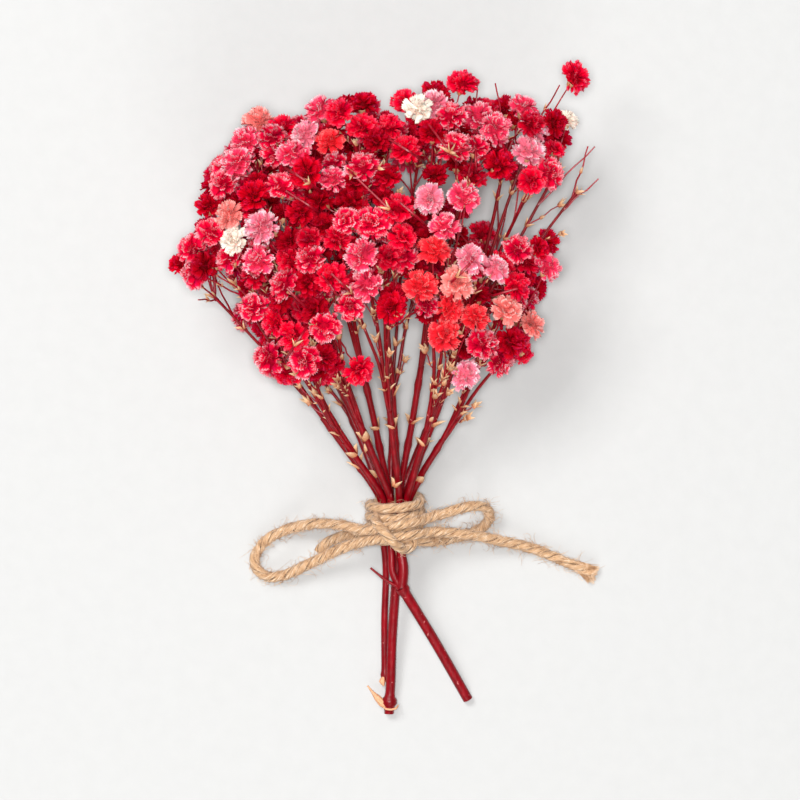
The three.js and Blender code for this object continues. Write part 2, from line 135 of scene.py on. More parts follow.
# Blooms that show from the front: tint, place in plan, and a size where it isn't the usual one.
FRONT_BLOOMS = [
    # upper left
    ("S", -38, 111), ("K", -40, 106), ("K", -43, 102), ("P", -47, 99), ("P", -48, 94),
    ("D", -51, 90, SMALL), ("P", -49, 92, BUD), ("S", -46, 86), ("P", -34, 104), ("R", -32, 110),
    ("L", -25, 108), ("K", -28, 103), ("P", -32, 94), ("D", -39, 91), ("K", -20, 115), ("C", -17, 108),
    ("D", -24, 98), ("D", -26, 87),
    # upper middle
    ("D", -9, 117), ("R", -10, 111), ("R", -15, 113), ("P", -8, 99), ("K", -17, 95), ("D", -13, 91),
    ("R", -2, 110), ("R", 3, 104), ("D", -3, 97), ("W", 7, 116), ("L", 10, 116.5), ("P", 15, 113),
    ("D", 11, 109), ("K", 24, 113), ("K", 27, 111), ("R", 19, 123), ("P", 16, 105), ("P", 22, 105),
    ("K", 19, 91), ("L", 10, 90), ("R", 23, 124.5, BUD), ("R", 28, 123.5, BUD),
    # upper right
    ("R", 50, 125), ("K", 36, 116), ("L", 39, 111), ("L", 37, 104), ("W", 48, 113, SMALL),
    ("R", 45, 105, SMALL), ("D", 29, 100), ("R", 38, 96), ("P", 43, 98), ("R", 46, 123, BUD),
    ("R", 54, 106, BUD), ("R", 57, 97, BUD), ("R", 56, 106, BUD),
    # left wing
    ("L", -38, 82), ("W", -43, 80), ("P", -50, 82), ("P", -55, 77), ("D", -60, 73, SMALL),
    ("P", -54, 73), ("R", -30, 74), ("K", -36, 74), ("P", -46, 75), ("R", -55, 63, BUD),
    # middle
    ("P", -23, 75), ("R", -17, 79), ("K", -9, 75), ("P", -13, 84), ("P", -7, 84), ("R", 0, 88),
    ("R", 2, 80), ("K", 13, 83), ("P", 1, 74), ("D", -24, 68), ("P", -31, 67), ("R", -17, 69),
    ("K", -8, 67), ("P", -14, 62), ("D", -1, 61), ("P", -38, 60), ("R", -33, 58), ("R", -27, 54),
    ("P", -20, 56),
    # right
    ("P", 33, 76), ("D", 40, 77, SMALL), ("K", 42, 72), ("L", 29, 72), ("L", 21, 74), ("C", 11, 77),
    ("R", 32, 67), ("C", 9, 67), ("S", 20, 67), ("C", 15, 61), ("C", 14, 54), ("C", 23, 58),
    ("S", 30, 61), ("S", 38, 56), ("R", 36, 48, SMALL), ("P", 29, 46), ("P", 25, 51), ("L", 16, 43),
    # lower left
    ("P", -32, 48), ("R", -29, 43), ("R", -22, 41), ("R", -13, 44), ("P", -25, 47),
]
FRONT_PLAN = np.array([(x, y) for _, x, y, *size in FRONT_BLOOMS if size != [BUD]])
BACK_TINTS = "RPKDRPCSRPDK"
# Stalks that cross over the front blooms, in plan: from a fork that shows to the bloom that it carries.
CROSSING_STALKS = [
    ((-11.8, 97.7), (-16.2, 101.9)), ((-23.5, 94.9), (-30.5, 99.4)), ((-19.6, 86.2), (-30.2, 93)),
    ((-1.4, 87.6), (-11.8, 97.7)), ((-4.8, 99.1), (1.1, 100)), ((10.1, 100), (-4.2, 108.9)),
    ((15.1, 103.6), (9.5, 111.4)), ((22.4, 96), (22.4, 108.4)), ((-16, 64.1), (-20.4, 70)),
    ((-12, 64.7), (-17.6, 70)), ((-39.2, 96.9), (-44.8, 97.7)), ((15.1, 103.6), (22.1, 104.7)),
    ((-26, 62), (-30, 66)), ((-21, 61), (-27, 58)), ((-28, 50), (-24, 56)), ((8, 84), (1, 90)),
    ((-36, 68), (-43, 72)), ((27, 64), (34, 66)), ((17, 69), (22, 74)),
]

# Name, lean sideways and towards the front for each millimetre of height, and place in the tie.
STEMS = [
    ("spray_lower_left", (-0.6, 0.38), (-3.25, 2.4)),
    ("spray_left_wing", (-0.68, 0.12), (-4, 0)),
    ("spray_middle_left", (-0.37, 0.38), (-1.25, 3.8)),
    ("spray_middle", (-0.08, 0.42), (1.25, 3.8)),
    ("spray_coral", (0.3, 0.42), (3.25, 2.4)),
    ("spray_right", (0.52, 0.25), (4, 0)),
    ("spray_upper_left", (-0.44, 0.12), (-1.2, 1.2)),
    ("spray_top_left", (-0.22, 0.17), (-1.2, -1.2)),
    ("spray_top_middle", (-0.05, 0.22), (1.2, 1.2)),
    ("spray_top_right", (0.17, 0.17), (1.2, -1.2)),
    ("spray_upper_right", (0.37, 0.06), (3.25, -2.4)),
    ("spray_back_left", (-0.4, -0.2), (-3.25, -2.4)),
    ("spray_back_middle", (0.0, -0.24), (-1.25, -3.8)),
    ("spray_back_right", (0.36, -0.22), (1.25, -3.8)),
]
LONG_STEMS = ("spray_middle", "spray_top_middle", "spray_back_left")


def seeded_draw(seed):
    """The same draws between two numbers each time, for the same seed."""
    mask = 0xFFFFFFFF  # keeps 32 bits
    state = seed

    def draw(low=0.0, high=1.0):
        nonlocal state
        state = (state + 0x6D2B79F5) & mask
        t = state
        t = ((t ^ (t >> 15)) * (t | 1)) & mask
        t ^= (t + (((t ^ (t >> 7)) * (t | 61)) & mask)) & mask
        return low + (high - low) * ((t ^ (t >> 14)) / (mask + 1))

    return draw


def axis_height(y):
    return TIE_HEIGHT + LEAN * y


def place(x, y, rise):
    return np.array([x, y, axis_height(y) + rise], float)


def unit(vector):
    return vector / np.linalg.norm(vector)


def along_line(line):
    """How far each point of a line is from its start, along it."""
    return np.concatenate([[0], np.cumsum(np.linalg.norm(np.diff(line, axis=0), axis=1))])


def bezier(controls, shares):
    """Points of a Bezier curve at these shares of it."""
    degree = len(controls) - 1
    t = np.asarray(shares, float)[:, None]
    parts = [math.comb(degree, k) * t**k * (1 - t) ** (degree - k) * controls[k] for k in range(degree + 1)]
    return np.sum(parts, axis=0)


def dome_share(x, y):
    """How far the dome of blooms stands out from the axis here, as a share of its full depth."""
    out = math.hypot((x - DOME_MIDDLE[0]) / DOME_ACROSS, (y - DOME_MIDDLE[1]) / DOME_ALONG)
    return max(0, 1 - out**3)


def placed_blooms():
    draw = seeded_draw(11)
    blooms = []

    def add(x, y, rise, size, tint):
        radius = BLOOM_RADIUS * size * draw(1 - SIZE_SPREAD, 1 + SIZE_SPREAD)
        blooms.append({"at": place(x, y, rise), "radius": radius, "tint": tint, "bud": size == BUD})

    for tint, x, y, *size in FRONT_BLOOMS:
        rise = DOME_FRONT * dome_share(x, y) + draw(-FRONT_JITTER, FRONT_JITTER)
        add(x, y, rise, size[0] if size else 1, tint)
    golden_turn = math.pi * (3 - math.sqrt(5))
    for i in range(BACK_BLOOMS):
        out = BACK_SCALE * math.sqrt((i + 0.5) / BACK_BLOOMS)
        x = DOME_MIDDLE[0] + DOME_ACROSS * out * math.cos(i * golden_turn)
        y = DOME_MIDDLE[1] + BACK_SHIFT + DOME_ALONG * out * math.sin(i * golden_turn)
        if not any(math.hypot(*(spot - (x, y))) <= OPEN_REACH for spot in FRONT_PLAN):
            continue
        add(x, y, -DOME_BACK * dome_share(x, y) + draw(*BACK_JITTER), 1, BACK_TINTS[i % len(BACK_TINTS)])
    return blooms


def lean_of(point):
    x, y, z = point
    return np.array([x / y, (z - axis_height(y)) / y])


def share_out(blooms):
    """Each bloom belongs to the stem whose lean is nearest to its own."""
    leans = np.array([lean for _, lean, _ in STEMS])
    for bloom in blooms:
        bloom["stem"] = int(np.argmin(np.linalg.norm(leans - lean_of(bloom["at"]), axis=1)))


def groups_of(blooms, stem):
    """The blooms of a stem in threes, taken round the stem."""
    own = [bloom for bloom in blooms if bloom["stem"] == stem]
    middle = np.mean([lean_of(bloom["at"]) for bloom in own], axis=0)

    def turn(bloom):
        x, y = lean_of(bloom["at"]) - middle
        return math.atan2(-y, -x) + math.pi

    own.sort(key=turn)
    count = max(1, math.floor(len(own) / BLOOMS_ON_A_BRANCH + 0.5))
    groups = [[] for _ in range(count)]
    for i, bloom in enumerate(own):
        groups[i * count // len(own)].append(bloom)
    return groups


def spot_on(controls, share):
    """A point of a Bezier curve, and the direction in which it runs there."""
    nudge = 1e-4
    before, spot, after = bezier(controls, [share - nudge, share, share + nudge])
    return spot, unit(after - before)


def bract_line(controls, share, side):
    """Where a bract starts and ends that stands off to the left (-1) or right (1) of a stem or branch."""
    start, along = spot_on(controls, share)
    out = unit(np.cross([0, 0, 1], along)) * -side * BRACT_SPREAD
    return start, start + unit(out + along) * BRACT_LENGTH


def grown_stem(blooms, index):
    """A stem's own line through the tie and up to its fork, and a bent branch to each group of blooms."""
    name, (lean_x, lean_rise), (slot_x, slot_rise) = STEMS[index]
    groups = groups_of(blooms, index)
    foot = place(0, 0, 0)
    ends = []
    for group in groups:
        middle = np.mean([bloom["at"] for bloom in group], axis=0)
        reach = np.linalg.norm(middle - foot)
        ends.append(foot + (middle - foot) * (reach - STALK_LENGTH) / reach)
    fork_y = np.mean([end[1] for end in ends]) * FORK_SHARE
    fork = place(
        slot_x * FORK_KEEP + lean_x * FORK_SPREAD * fork_y,
        fork_y,
        slot_rise * FORK_KEEP + lean_rise * FORK_SPREAD * fork_y,
    )
    freed = place(slot_x, FREE_Y, slot_rise)
    bent = place(slot_x, FREE_Y + STEM_BEND, slot_rise)
    rising = [freed, bent, (bent + fork) / 2, fork]
    low = place(slot_x, JOIN_Y if name in LONG_STEMS else CUT_Y, slot_rise)
    bracts = [bract_line(rising, STEM_BRACT_SHARE, side) for side in (1, -1)]
    branches = []
    for i, group in enumerate(groups):
        start, along = spot_on(rising, 1 - (FORK_SINK + i * FORK_STEP) / np.linalg.norm(fork - freed))
        bend = start + along * np.linalg.norm(ends[i] - start) * BRANCH_BOW
        curve = [start, bend, ends[i]]
        bracts.append(bract_line(curve, BRANCH_BRACT_SHARE, 1 if i % 2 else -1))
        starts = bezier(curve, [1 - STALK_SINK - STALK_STEP * k for k in range(len(group))])
        for bloom, stalk_start in zip(group, starts):
            bloom["from"] = stalk_start
        branches.append({"curve": curve, "blooms": group})
    grown = {"name": name, "index": index, "low": low, "rising": rising}
    return {**grown, "bracts": bracts, "branches": branches, "crossing": []}


def bars_of(stem):
    bars = []

    def add(points, radius):
        bars.extend((a, b, radius, stem["index"]) for a, b in zip(points[:-1], points[1:]))

    add([stem["low"], *bezier(stem["rising"], np.linspace(0, 1, STEM_STEPS + 1))], STEM_RADIUS)
    for branch in stem["branches"]:
        add(bezier(branch["curve"], np.linspace(0, 1, BRANCH_STEPS + 1)), BRANCH_RADIUS)
    for start, end in stem["bracts"]:
        add([start, end], BRACT_RADIUS)
    return bars


def settle(blooms, stems):
    """Blooms that crowd each other, or a stem or stalk, move apart, mostly towards the front or the back."""
    bars = [bar for stem in stems for bar in bars_of(stem)]
    fixed = len(bars)
    at = np.array([bloom["at"] for bloom in blooms])
    radius = np.array([bloom["radius"] for bloom in blooms])
    owner = np.array([bloom["stem"] for bloom in blooms])
    starts = np.array([bar[0] for bar in bars] + [bloom["from"] for bloom in blooms])
    fixed_ends = np.array([bar[1] for bar in bars])
    thick = np.array([bar[2] for bar in bars] + [STALK_RADIUS] * len(blooms))
    bar_owner = np.array([bar[3] for bar in bars] + [bloom["stem"] for bloom in blooms])
    same = owner[:, None] == owner
    bloom_need = radius[:, None] + radius + np.where(same, HUDDLE, CLEARANCE)
    np.fill_diagonal(bloom_need, 0)
    own_bar = owner[:, None] == bar_owner
    bar_need = thick + np.where(own_bar, OWN_REACH * radius[:, None], radius[:, None] + CLEARANCE)
    bar_need[np.arange(len(blooms)), fixed + np.arange(len(blooms))] = 0

    def pushes(away, need, share):
        far = np.linalg.norm(away, axis=2)
        weight = np.where(far < need, share * (need - far) / np.maximum(far, 1e-6), 0)
        return (away * weight[..., None]).sum(axis=1)

    for _ in range(SETTLE_ROUNDS):
        ends = np.concatenate([fixed_ends, at])
        along = ends - starts
        share = ((at[:, None] - starts) * along).sum(axis=2) / (along**2).sum(axis=1)
        nearest = starts + np.clip(share, 0, 1)[..., None] * along
        push = pushes(at[:, None] - at, bloom_need, BLOOM_PUSH)
        push += pushes(at[:, None] - nearest, bar_need, BAR_PUSH)
        at[:, :2] += push[:, :2] * SIDE_GIVE
        at[:, 2] = np.maximum(radius - PRESSED, at[:, 2] + push[:, 2])
    for bloom, point in zip(blooms, at):
        bloom["at"] = point


def front_of(x, y):
    """Height of the front of the blooms over this place."""
    heights = [axis_height(y)]
    for bloom in BLOOMS:
        inside = bloom["radius"] ** 2 - (bloom["at"][0] - x) ** 2 - (bloom["at"][1] - y) ** 2
        if inside > 0:
            heights.append(bloom["at"][2] + FLUFFED * math.sqrt(inside))
    return max(heights)


def crossing_stalk(start, end):
    """A stalk that comes up between the blooms, forks where it shows, and ends under another bloom."""
    (x, y), (end_x, end_y) = start, end
    middle_x, middle_y = (x + end_x) / 2, (y + end_y) / 2
    fork = np.array([x, y, front_of(x, y) + CROSSING_LIFT])
    root = fork - unit(np.array([end_x - x, end_y - y, 0])) * CROSSING_BACK - [0, 0, CROSSING_DROP]
    last = np.array([end_x, end_y, front_of(end_x, end_y) - CROSSING_DIP])
    rise = max(front_of(middle_x, middle_y) + CROSSING_ARCH, (fork[2] + last[2]) / 2)
    return {"root": root, "fork": fork, "middle": np.array([middle_x, middle_y, rise]), "end": last}


BLOOMS = placed_blooms()
share_out(BLOOMS)
SPRAYS = [grown_stem(BLOOMS, index) for index in range(len(STEMS))]
settle(BLOOMS, SPRAYS)
for stalk_start, stalk_end in CROSSING_STALKS:
    crossing = crossing_stalk(stalk_start, stalk_end)
    leans = [np.linalg.norm(lean_of(crossing["root"]) - lean) for _, lean, _ in STEMS]
    SPRAYS[int(np.argmin(leans))]["crossing"].append(crossing)


# ---- Settings ----


def linear(hex_colour):
    """A colour written as six hex digits, in linear light."""
    parts = [int(hex_colour[i : i + 2], 16) / 255 for i in (0, 2, 4)]
    return tuple(c / 12.92 if c <= 0.04045 else ((c + 0.055) / 1.055) ** 2.4 for c in parts)


def colour(name, hex_colour, description):
    return FloatVectorProperty(
        name=name, description=description, default=linear(hex_colour), subtype="COLOR", size=3, min=0, max=1
    )


def length(name, millimetres, description):
    return FloatProperty(name=name, description=description, default=millimetres * MM, min=0, unit="LENGTH")


# Colour of the petals, and of their edges.
DYES = {
    "crimson": ("C40018", "E8183A"),
    "red": ("F0002A", "FF5068"),
    "rose": ("F00638", "FFC6D0"),
    "pink": ("FF345C", "FFDEE4"),
    "pale": ("FF7A92", "FFF0F2"),
    "coral": ("FF2634", "FF7E7C"),
    "salmon": ("FF7E78", "FFCEC4"),
    "cream": ("F4DACB", "F8ECE0"),
}


class BunchBloomSettings(bpy.types.PropertyGroup):
    """Sizes and dyes of the blooms."""

    petal_width: length("Petal width", 1.8, "Width of a petal near its frilled edge")
    fluff: FloatProperty(
        name="Fluff", description="Width of a bloom as a share of its solid", default=1.12, min=0.5
    )
    fillers: IntProperty(
        name="Hidden blooms", description="Most blooms that fill the depth", default=210, min=0
    )


dyes = BunchBloomSettings.__annotations__
for dye_name, (petal_dye, edge_dye) in DYES.items():
    title = dye_name.capitalize()
    dyes[dye_name] = colour(title, petal_dye, f"Dye of the {dye_name} blooms")
    dyes[dye_name + "_edge"] = colour(title + " edge", edge_dye, f"Edge of the {dye_name} petals")


class BunchStemSettings(bpy.types.PropertyGroup):
    """Sizes and dyes of the stems and bracts."""

    stem_radius: length("Stem radius", 1.02, "Radius of a main stem above the tie")
    branch_radius: length("Branch radius", 0.5, "Radius of a branch where it leaves its stem")
    stalk_radius: length("Stalk radius", 0.24, "Radius of the thin stalk of a bloom")
    stem: colour("Stem", "84000F", "Dye of the thick stems")
    stalk: colour("Stalk", "9E0520", "Dye of the thin stalks")
    speck: colour("Speck", "E08A86", "Colour of the pale specks on the stems")
    bract_base: colour("Bract base", "CE7850", "Colour of a papery bract at its base")
    bract_tip: colour("Bract tip", "F2CAA0", "Colour of a papery bract at its tip")


class BunchTwineSettings(bpy.types.PropertyGroup):
    """Sizes and colours of the jute twine."""

    twine_radius: length("Twine radius", 1.5, "Radius of the twine over its three plies")
    ply_pitch: length("Ply pitch", 12.5, "Length of one whole turn of the plies")
    jute: colour("Jute", "C79F79", "Colour of the twine")
    jute_light: colour("Light jute", "E8CEB1", "Colour of its palest fibres")
    jute_dark: colour("Dark jute", "80583A", "Colour between its plies")


class BunchStageSettings(bpy.types.PropertyGroup):
    """The floor, and where the camera stands."""

    floor: colour("Floor", "B6B6B5", "Colour of the floor")
    frame_width: length("Frame width", 224, "Width of the picture at the bunch")
    camera_height: length("Camera height", 3000, "Height of the camera over the bunch")


# ---- Helpers ----


def deselect():
    bpy.ops.object.select_all(action="DESELECT")


def activate(made):
    deselect()
    made.select_set(True)
    bpy.context.view_layer.objects.active = made


def pick(made, chosen):
    """Selects the points of a mesh that `chosen` accepts by their place."""
    mesh = made.data
    mesh.polygons.foreach_set("select", [False] * len(mesh.polygons))
    mesh.edges.foreach_set("select", [False] * len(mesh.edges))
    mesh.vertices.foreach_set("select", [chosen(vertex.co) for vertex in mesh.vertices])


def edit(made, chosen, operator, **settings):
    """Runs an edit mode operator on the points that `chosen` accepts."""
    activate(made)
    pick(made, chosen)
    bpy.ops.object.mode_set(mode="EDIT")
    bpy.ops.mesh.select_mode(type="VERT")
    operator(**settings)
    bpy.ops.object.mode_set(mode="OBJECT")


def everywhere(_):
    return True


def shift(made, chosen, offset):
    edit(made, chosen, bpy.ops.transform.translate, value=offset)


def squeeze(made, chosen, factors, centre=(0, 0, 0)):
    edit(made, chosen, bpy.ops.transform.resize, value=factors, center_override=centre)


def modified(made, kind, **settings):
    """Adds a modifier and applies it."""
    activate(made)
    modifier = made.modifiers.new("shaping", kind)
    for key, value in settings.items():
        setattr(modifier, key, value)
    bpy.ops.object.modifier_apply(modifier=modifier.name)


def thickened(made, thickness):
    """Closes a thin sheet with a second face below it, joined to the first along its edge."""
    mesh = made.data
    used = {}
    for polygon in mesh.polygons:
        for key in polygon.edge_keys:
            used[key] = used.get(key, 0) + 1
    rim = {point for key, count in used.items() if count == 1 for point in key}
    group = made.vertex_groups.new(name="inside")
    group.add([vertex.index for vertex in mesh.vertices if vertex.index not in rim], 1, "REPLACE")
    modified(made, "SOLIDIFY", thickness=thickness, offset=-1, use_rim=False, vertex_group="inside")
    made.vertex_groups.clear()
    edit(made, everywhere, bpy.ops.mesh.remove_doubles, threshold=1e-5)
    edit(made, everywhere, bpy.ops.mesh.normals_make_consistent, inside=False)


def smoothed(made, degrees=50):
    activate(made)
    bpy.ops.object.shade_smooth_by_angle(angle=math.radians(degrees))


def set_values(made, name, values):
    """A number for each point of a mesh."""
    mesh = made.data
    attribute = mesh.attributes.get(name) or mesh.attributes.new(name, "FLOAT", "POINT")
    attribute.data.foreach_set("value", np.asarray(values, np.float32))


def get_values(made, name):
    values = np.zeros(len(made.data.vertices), np.float32)
    made.data.attributes[name].data.foreach_get("value", values)
    return values


def set_dye(made, colours, name="dye"):
    """A colour for each point of a mesh, from an array of three columns."""
    mesh = made.data
    attribute = mesh.attributes.get(name) or mesh.attributes.new(name, "FLOAT_COLOR", "POINT")
    full = np.ones((len(mesh.vertices), 4), np.float32)
    full[:, :3] = np.clip(colours, 0, 1)
    attribute.data.foreach_set("color", full.ravel())


def points_of(made):
    points = np.zeros(len(made.data.vertices) * 3, np.float32)
    made.data.vertices.foreach_get("co", points)
    return points.reshape(-1, 3)


def copied(master, matrix):
    mesh = master.data.copy()
    mesh.transform(matrix)
    made = bpy.data.objects.new(master.name + "_copy", mesh)
    bpy.context.collection.objects.link(made)
    return made


def lifted(made):
    """Raises what would dip into the floor."""
    dip = points_of(made)[:, 2].min()
    if dip < 0:
        made.data.transform(Matrix.Translation((0, 0, -dip)))
    return made


def joined(parts, name):
    """One object out of several, at the origin."""
    deselect()
    for part in parts:
        part.select_set(True)
    bpy.context.view_layer.objects.active = parts[0]
    if len(parts) > 1:
        bpy.ops.object.join()
    parts[0].name = name
    parts[0].data.name = name
    return parts[0]


def discard(masters):
    for master in masters:
        bpy.data.objects.remove(master)


def finished(made, material):
    """Gives a piece its material, and lets it ride on the bunch."""
    made.data.materials.clear()
    made.data.materials.append(material)
    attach(made, BODY)


def standing(direction, at, scale, spin=0.0):
    """Turns a master that stands on +Z to point along a direction, and puts it in its place."""
    turn = Vector(direction).normalized().to_track_quat("Z", "Y").to_matrix().to_4x4()
    spun = Matrix.Rotation(spin, 4, "Z")
    sized = Matrix.Diagonal((*(np.ones(3) * scale), 1))
    return Matrix.Translation(Vector(at)) @ turn @ spun @ sized


def smooth_line(points, step):
    """Points about `step` apart on a smooth curve through these points."""
    p = np.array(points, float)
    along = along_line(p)
    slope = np.gradient(p, along, axis=0)
    at = np.linspace(0, along[-1], max(2, round(along[-1] / step) + 1))
    i = np.clip(np.searchsorted(along, at, "right") - 1, 0, len(p) - 2)
    span = (along[i + 1] - along[i])[:, None]
    t = (at - along[i])[:, None] / span
    return (
        (2 * t**3 - 3 * t**2 + 1) * p[i]
        + (t**3 - 2 * t**2 + t) * span * slope[i]
        + (3 * t**2 - 2 * t**3) * p[i + 1]
        + (t**3 - t**2) * span * slope[i + 1]
    )


def drawn_tubes(name, runs, resolution, dye=None):
    """Round bars along lines. `runs` holds (line, radius at each point or all along it), in millimetres."""
    curve = bpy.data.curves.new(name, "CURVE")
    curve.dimensions = "3D"
    curve.bevel_depth = MM
    curve.bevel_resolution = resolution
    curve.use_fill_caps = True
    for line, radii in runs:
        spline = curve.splines.new("POLY")
        spline.points.add(len(line) - 1)
        places = np.ones((len(line), 4))
        places[:, :3] = world(line)
        spline.points.foreach_set("co", places.ravel())
        spline.points.foreach_set("radius", np.broadcast_to(radii, len(line)).astype(float))
    made = bpy.data.objects.new(name, curve)
    bpy.context.collection.objects.link(made)
    activate(made)
    bpy.ops.object.convert(target="MESH")
    made = bpy.context.object
    edit(made, everywhere, bpy.ops.mesh.remove_doubles, threshold=1e-7)
    edit(made, everywhere, bpy.ops.mesh.normals_make_consistent, inside=False)
    smoothed(made)
    if dye is not None:
        set_dye(made, np.tile(dye, (len(made.data.vertices), 1)))
    return made


# ---- Materials ----


def node(tree, kind, inputs=None, **settings):
    """A shader node with its settings and its inputs, which are numbers, colours or other nodes' sockets."""
    made = tree.nodes.new(kind)
    for key, value in settings.items():
        setattr(made, key, value)
    for key, value in (inputs or {}).items():
        if isinstance(value, bpy.types.NodeSocket):
            tree.links.new(value, made.inputs[key])
        else:
            made.inputs[key].default_value = value
    return made


def ramp(tree, factor, stops):
    """A colour ramp. `stops` holds (position, colour of three numbers)."""
    made = node(tree, "ShaderNodeValToRGB", {"Fac": factor})
    elements = made.color_ramp.elements
    while len(elements) < len(stops):
        elements.new(0.5)
    for element, (position, shade) in zip(elements, stops):
        element.position = position
        element.color = (*shade, 1)
    return made.outputs["Color"]


def grey(value):
    return (value, value, value)


def new_material(name, roughness, **constants):
    """A material with a Principled shader, and the constants set on its own sockets."""
    material = bpy.data.materials.new(name)
    material.use_nodes = True
    shader = material.node_tree.nodes["Principled BSDF"]
    shader.inputs["Roughness"].default_value = roughness
    for key, value in constants.items():
        shader.inputs[key.replace("_", " ")].default_value = value
    return material, material.node_tree, shader


def object_noise(tree, scale, detail=2.0, stretch=(1, 1, 1)):
    coordinates = node(tree, "ShaderNodeTexCoord").outputs["Object"]
    mapped = node(tree, "ShaderNodeMapping", {"Vector": coordinates, "Scale": stretch}).outputs["Vector"]
    noise = node(tree, "ShaderNodeTexNoise", {"Vector": mapped, "Scale": scale, "Detail": detail})
    return noise.outputs["Fac"]


def mixed(tree, factor, first, second, blend="MIX"):
    inputs = {"Factor": factor, "A": first, "B": second}
    return node(tree, "ShaderNodeMix", inputs, data_type="RGBA", blend_type=blend).outputs["Result"]


def multiplied(tree, first, second):
    return mixed(tree, 1.0, first, second, "MULTIPLY")


def attribute(tree, name, output="Color"):
    return node(tree, "ShaderNodeAttribute", attribute_name=name).outputs[output]


def grey_ramp(tree, factor, *stops):
    """A ramp of greys. `stops` holds (position, grey)."""
    return ramp(tree, factor, [(position, grey(value)) for position, value in stops])


def coloured(tree, shader, base, rough):
    tree.links.new(base, shader.inputs["Base Color"])
    tree.links.new(rough, shader.inputs["Roughness"])


def bumped(tree, shader, height, distance, strength=1.0):
    bump = node(tree, "ShaderNodeBump", {"Height": height, "Distance": distance, "Strength": strength})
    tree.links.new(bump.outputs["Normal"], shader.inputs["Normal"])


def translucent(shader, weight, radius, scale):
    """Lets light pass through a thin piece."""
    for name, value in (("Weight", weight), ("Radius", radius), ("Scale", scale)):
        shader.inputs["Subsurface " + name].default_value = value


def petal_material():
    """Dyed petals: fine mottling over the dye, and light that comes through them."""
    material, tree, shader = new_material("dyed_petal", 0.6, Specular_IOR_Level=0.03)
    rim = grey_ramp(tree, attribute(tree, "reach", "Fac"), (0.8, 0), (0.98, 1))
    dye = mixed(tree, rim, attribute(tree, "dye"), attribute(tree, "edge"))
    mottle = grey_ramp(tree, object_noise(tree, 900, 3), (0.3, 0.9), (0.7, 1))
    rough = grey_ramp(tree, object_noise(tree, 1500), (0.3, 0.55), (0.7, 0.8))
    coloured(tree, shader, multiplied(tree, dye, mottle), rough)
    bumped(tree, shader, object_noise(tree, 2600, 2), 0.00006)
    translucent(shader, 0.4, (1.0, 0.3, 0.35), 0.0008)
    return material


def stem_material(settings):
    """Dyed stems: streaks along the stem, small pale specks, and a slight gloss."""
    material, tree, shader = new_material("dyed_stem", 0.42, Specular_IOR_Level=0.25)
    streak = grey_ramp(tree, object_noise(tree, 900, 3, (1, 0.07, 1)), (0.32, 0.6), (0.5, 0.8), (0.66, 1))
    speck = grey_ramp(tree, object_noise(tree, 950, 0), (0.79, 0), (0.83, 0.5))
    dye = mixed(tree, speck, multiplied(tree, attribute(tree, "dye"), streak), (*settings.speck, 1))
    rough = grey_ramp(tree, object_noise(tree, 700), (0.3, 0.3), (0.7, 0.46))
    coloured(tree, shader, dye, rough)
    bumped(tree, shader, object_noise(tree, 1900, 3, (1, 0.15, 1)), 0.00012)
    return material


def bract_material():
    """Dry papery bracts: faint veins and a matt face."""
    material, tree, shader = new_material("dry_bract", 0.7, Specular_IOR_Level=0.15)
    vein = grey_ramp(tree, object_noise(tree, 1600, 3), (0.3, 0.72), (0.65, 1))
    rough = grey_ramp(tree, object_noise(tree, 800), (0.3, 0.6), (0.7, 0.82))
    coloured(tree, shader, multiplied(tree, attribute(tree, "dye"), vein), rough)
    bumped(tree, shader, object_noise(tree, 2200, 2), 0.00008)
    translucent(shader, 0.2, (1.0, 0.7, 0.5), 0.0006)
    return material


def jute_material(settings):
    """Jute plies: fibres run along each ply, and painted shade darkens it in patches where the plies meet."""
    material, tree, shader = new_material("jute_twine", 0.85, Specular_IOR_Level=0.2, Sheen_Weight=0.2)
    along = node(tree, "ShaderNodeUVMap", uv_map="ply").outputs["UV"]

    def fibres(across, lengthwise, detail):
        stretch = {"Vector": along, "Scale": (across, lengthwise, 1)}
        mapped = node(tree, "ShaderNodeMapping", stretch).outputs["Vector"]
        noise = node(tree, "ShaderNodeTexNoise", {"Vector": mapped, "Scale": 1, "Detail": detail})
        return noise.outputs["Fac"]

    fine = fibres(8, 0.5, 3)
    shade_patches = grey_ramp(tree, fibres(1.2, 0.35, 1), (0.42, 0), (0.56, 0.95))
    light, body, dark = settings.jute_light, settings.jute, settings.jute_dark
    streaks = ramp(tree, fine, [(0.32, dark), (0.44, body), (0.54, body), (0.66, light)])
    tone = grey_ramp(tree, fibres(2.5, 0.3, 2), (0.3, 0.8), (0.7, 1))
    # Painted shade in the hollows between the plies, from the depth of each point, laid on in patches.
    crevice_shade = grey_ramp(tree, attribute(tree, "depth", "Fac"), (0, 0.06), (0.2, 0.5), (0.45, 1))
    shade = multiplied(tree, multiplied(tree, streaks, tone), mixed(tree, shade_patches, crevice_shade, (1, 1, 1, 1)))
    coloured(tree, shader, shade, grey_ramp(tree, fine, (0.3, 0.92), (0.7, 0.7)))
    bumped(tree, shader, fine, 0.00035)
    return material


def fibre_material(settings):
    """Loose jute fibres: pale, with darker stretches."""
    material, tree, shader = new_material("jute_fibre", 0.8)
    tone = object_noise(tree, 420, 2)
    shade = ramp(tree, tone, [(0.3, settings.jute_dark), (0.5, settings.jute), (0.7, settings.jute_light)])
    coloured(tree, shader, shade, grey_ramp(tree, tone, (0.3, 0.7), (0.7, 0.85)))
    return material


def floor_material(settings):
    """A pale matt floor, slightly mottled."""
    material, tree, shader = new_material("pale_floor", 0.75)
    tone = grey_ramp(tree, object_noise(tree, 220, 4), (0.3, 0.975), (0.7, 1))
    tree.links.new(multiplied(tree, tone, (*settings.floor, 1)), shader.inputs["Base Color"])
    bumped(tree, shader, object_noise(tree, 260, 3), 0.0004, 0.25)
    return material


# ---- Stage ----


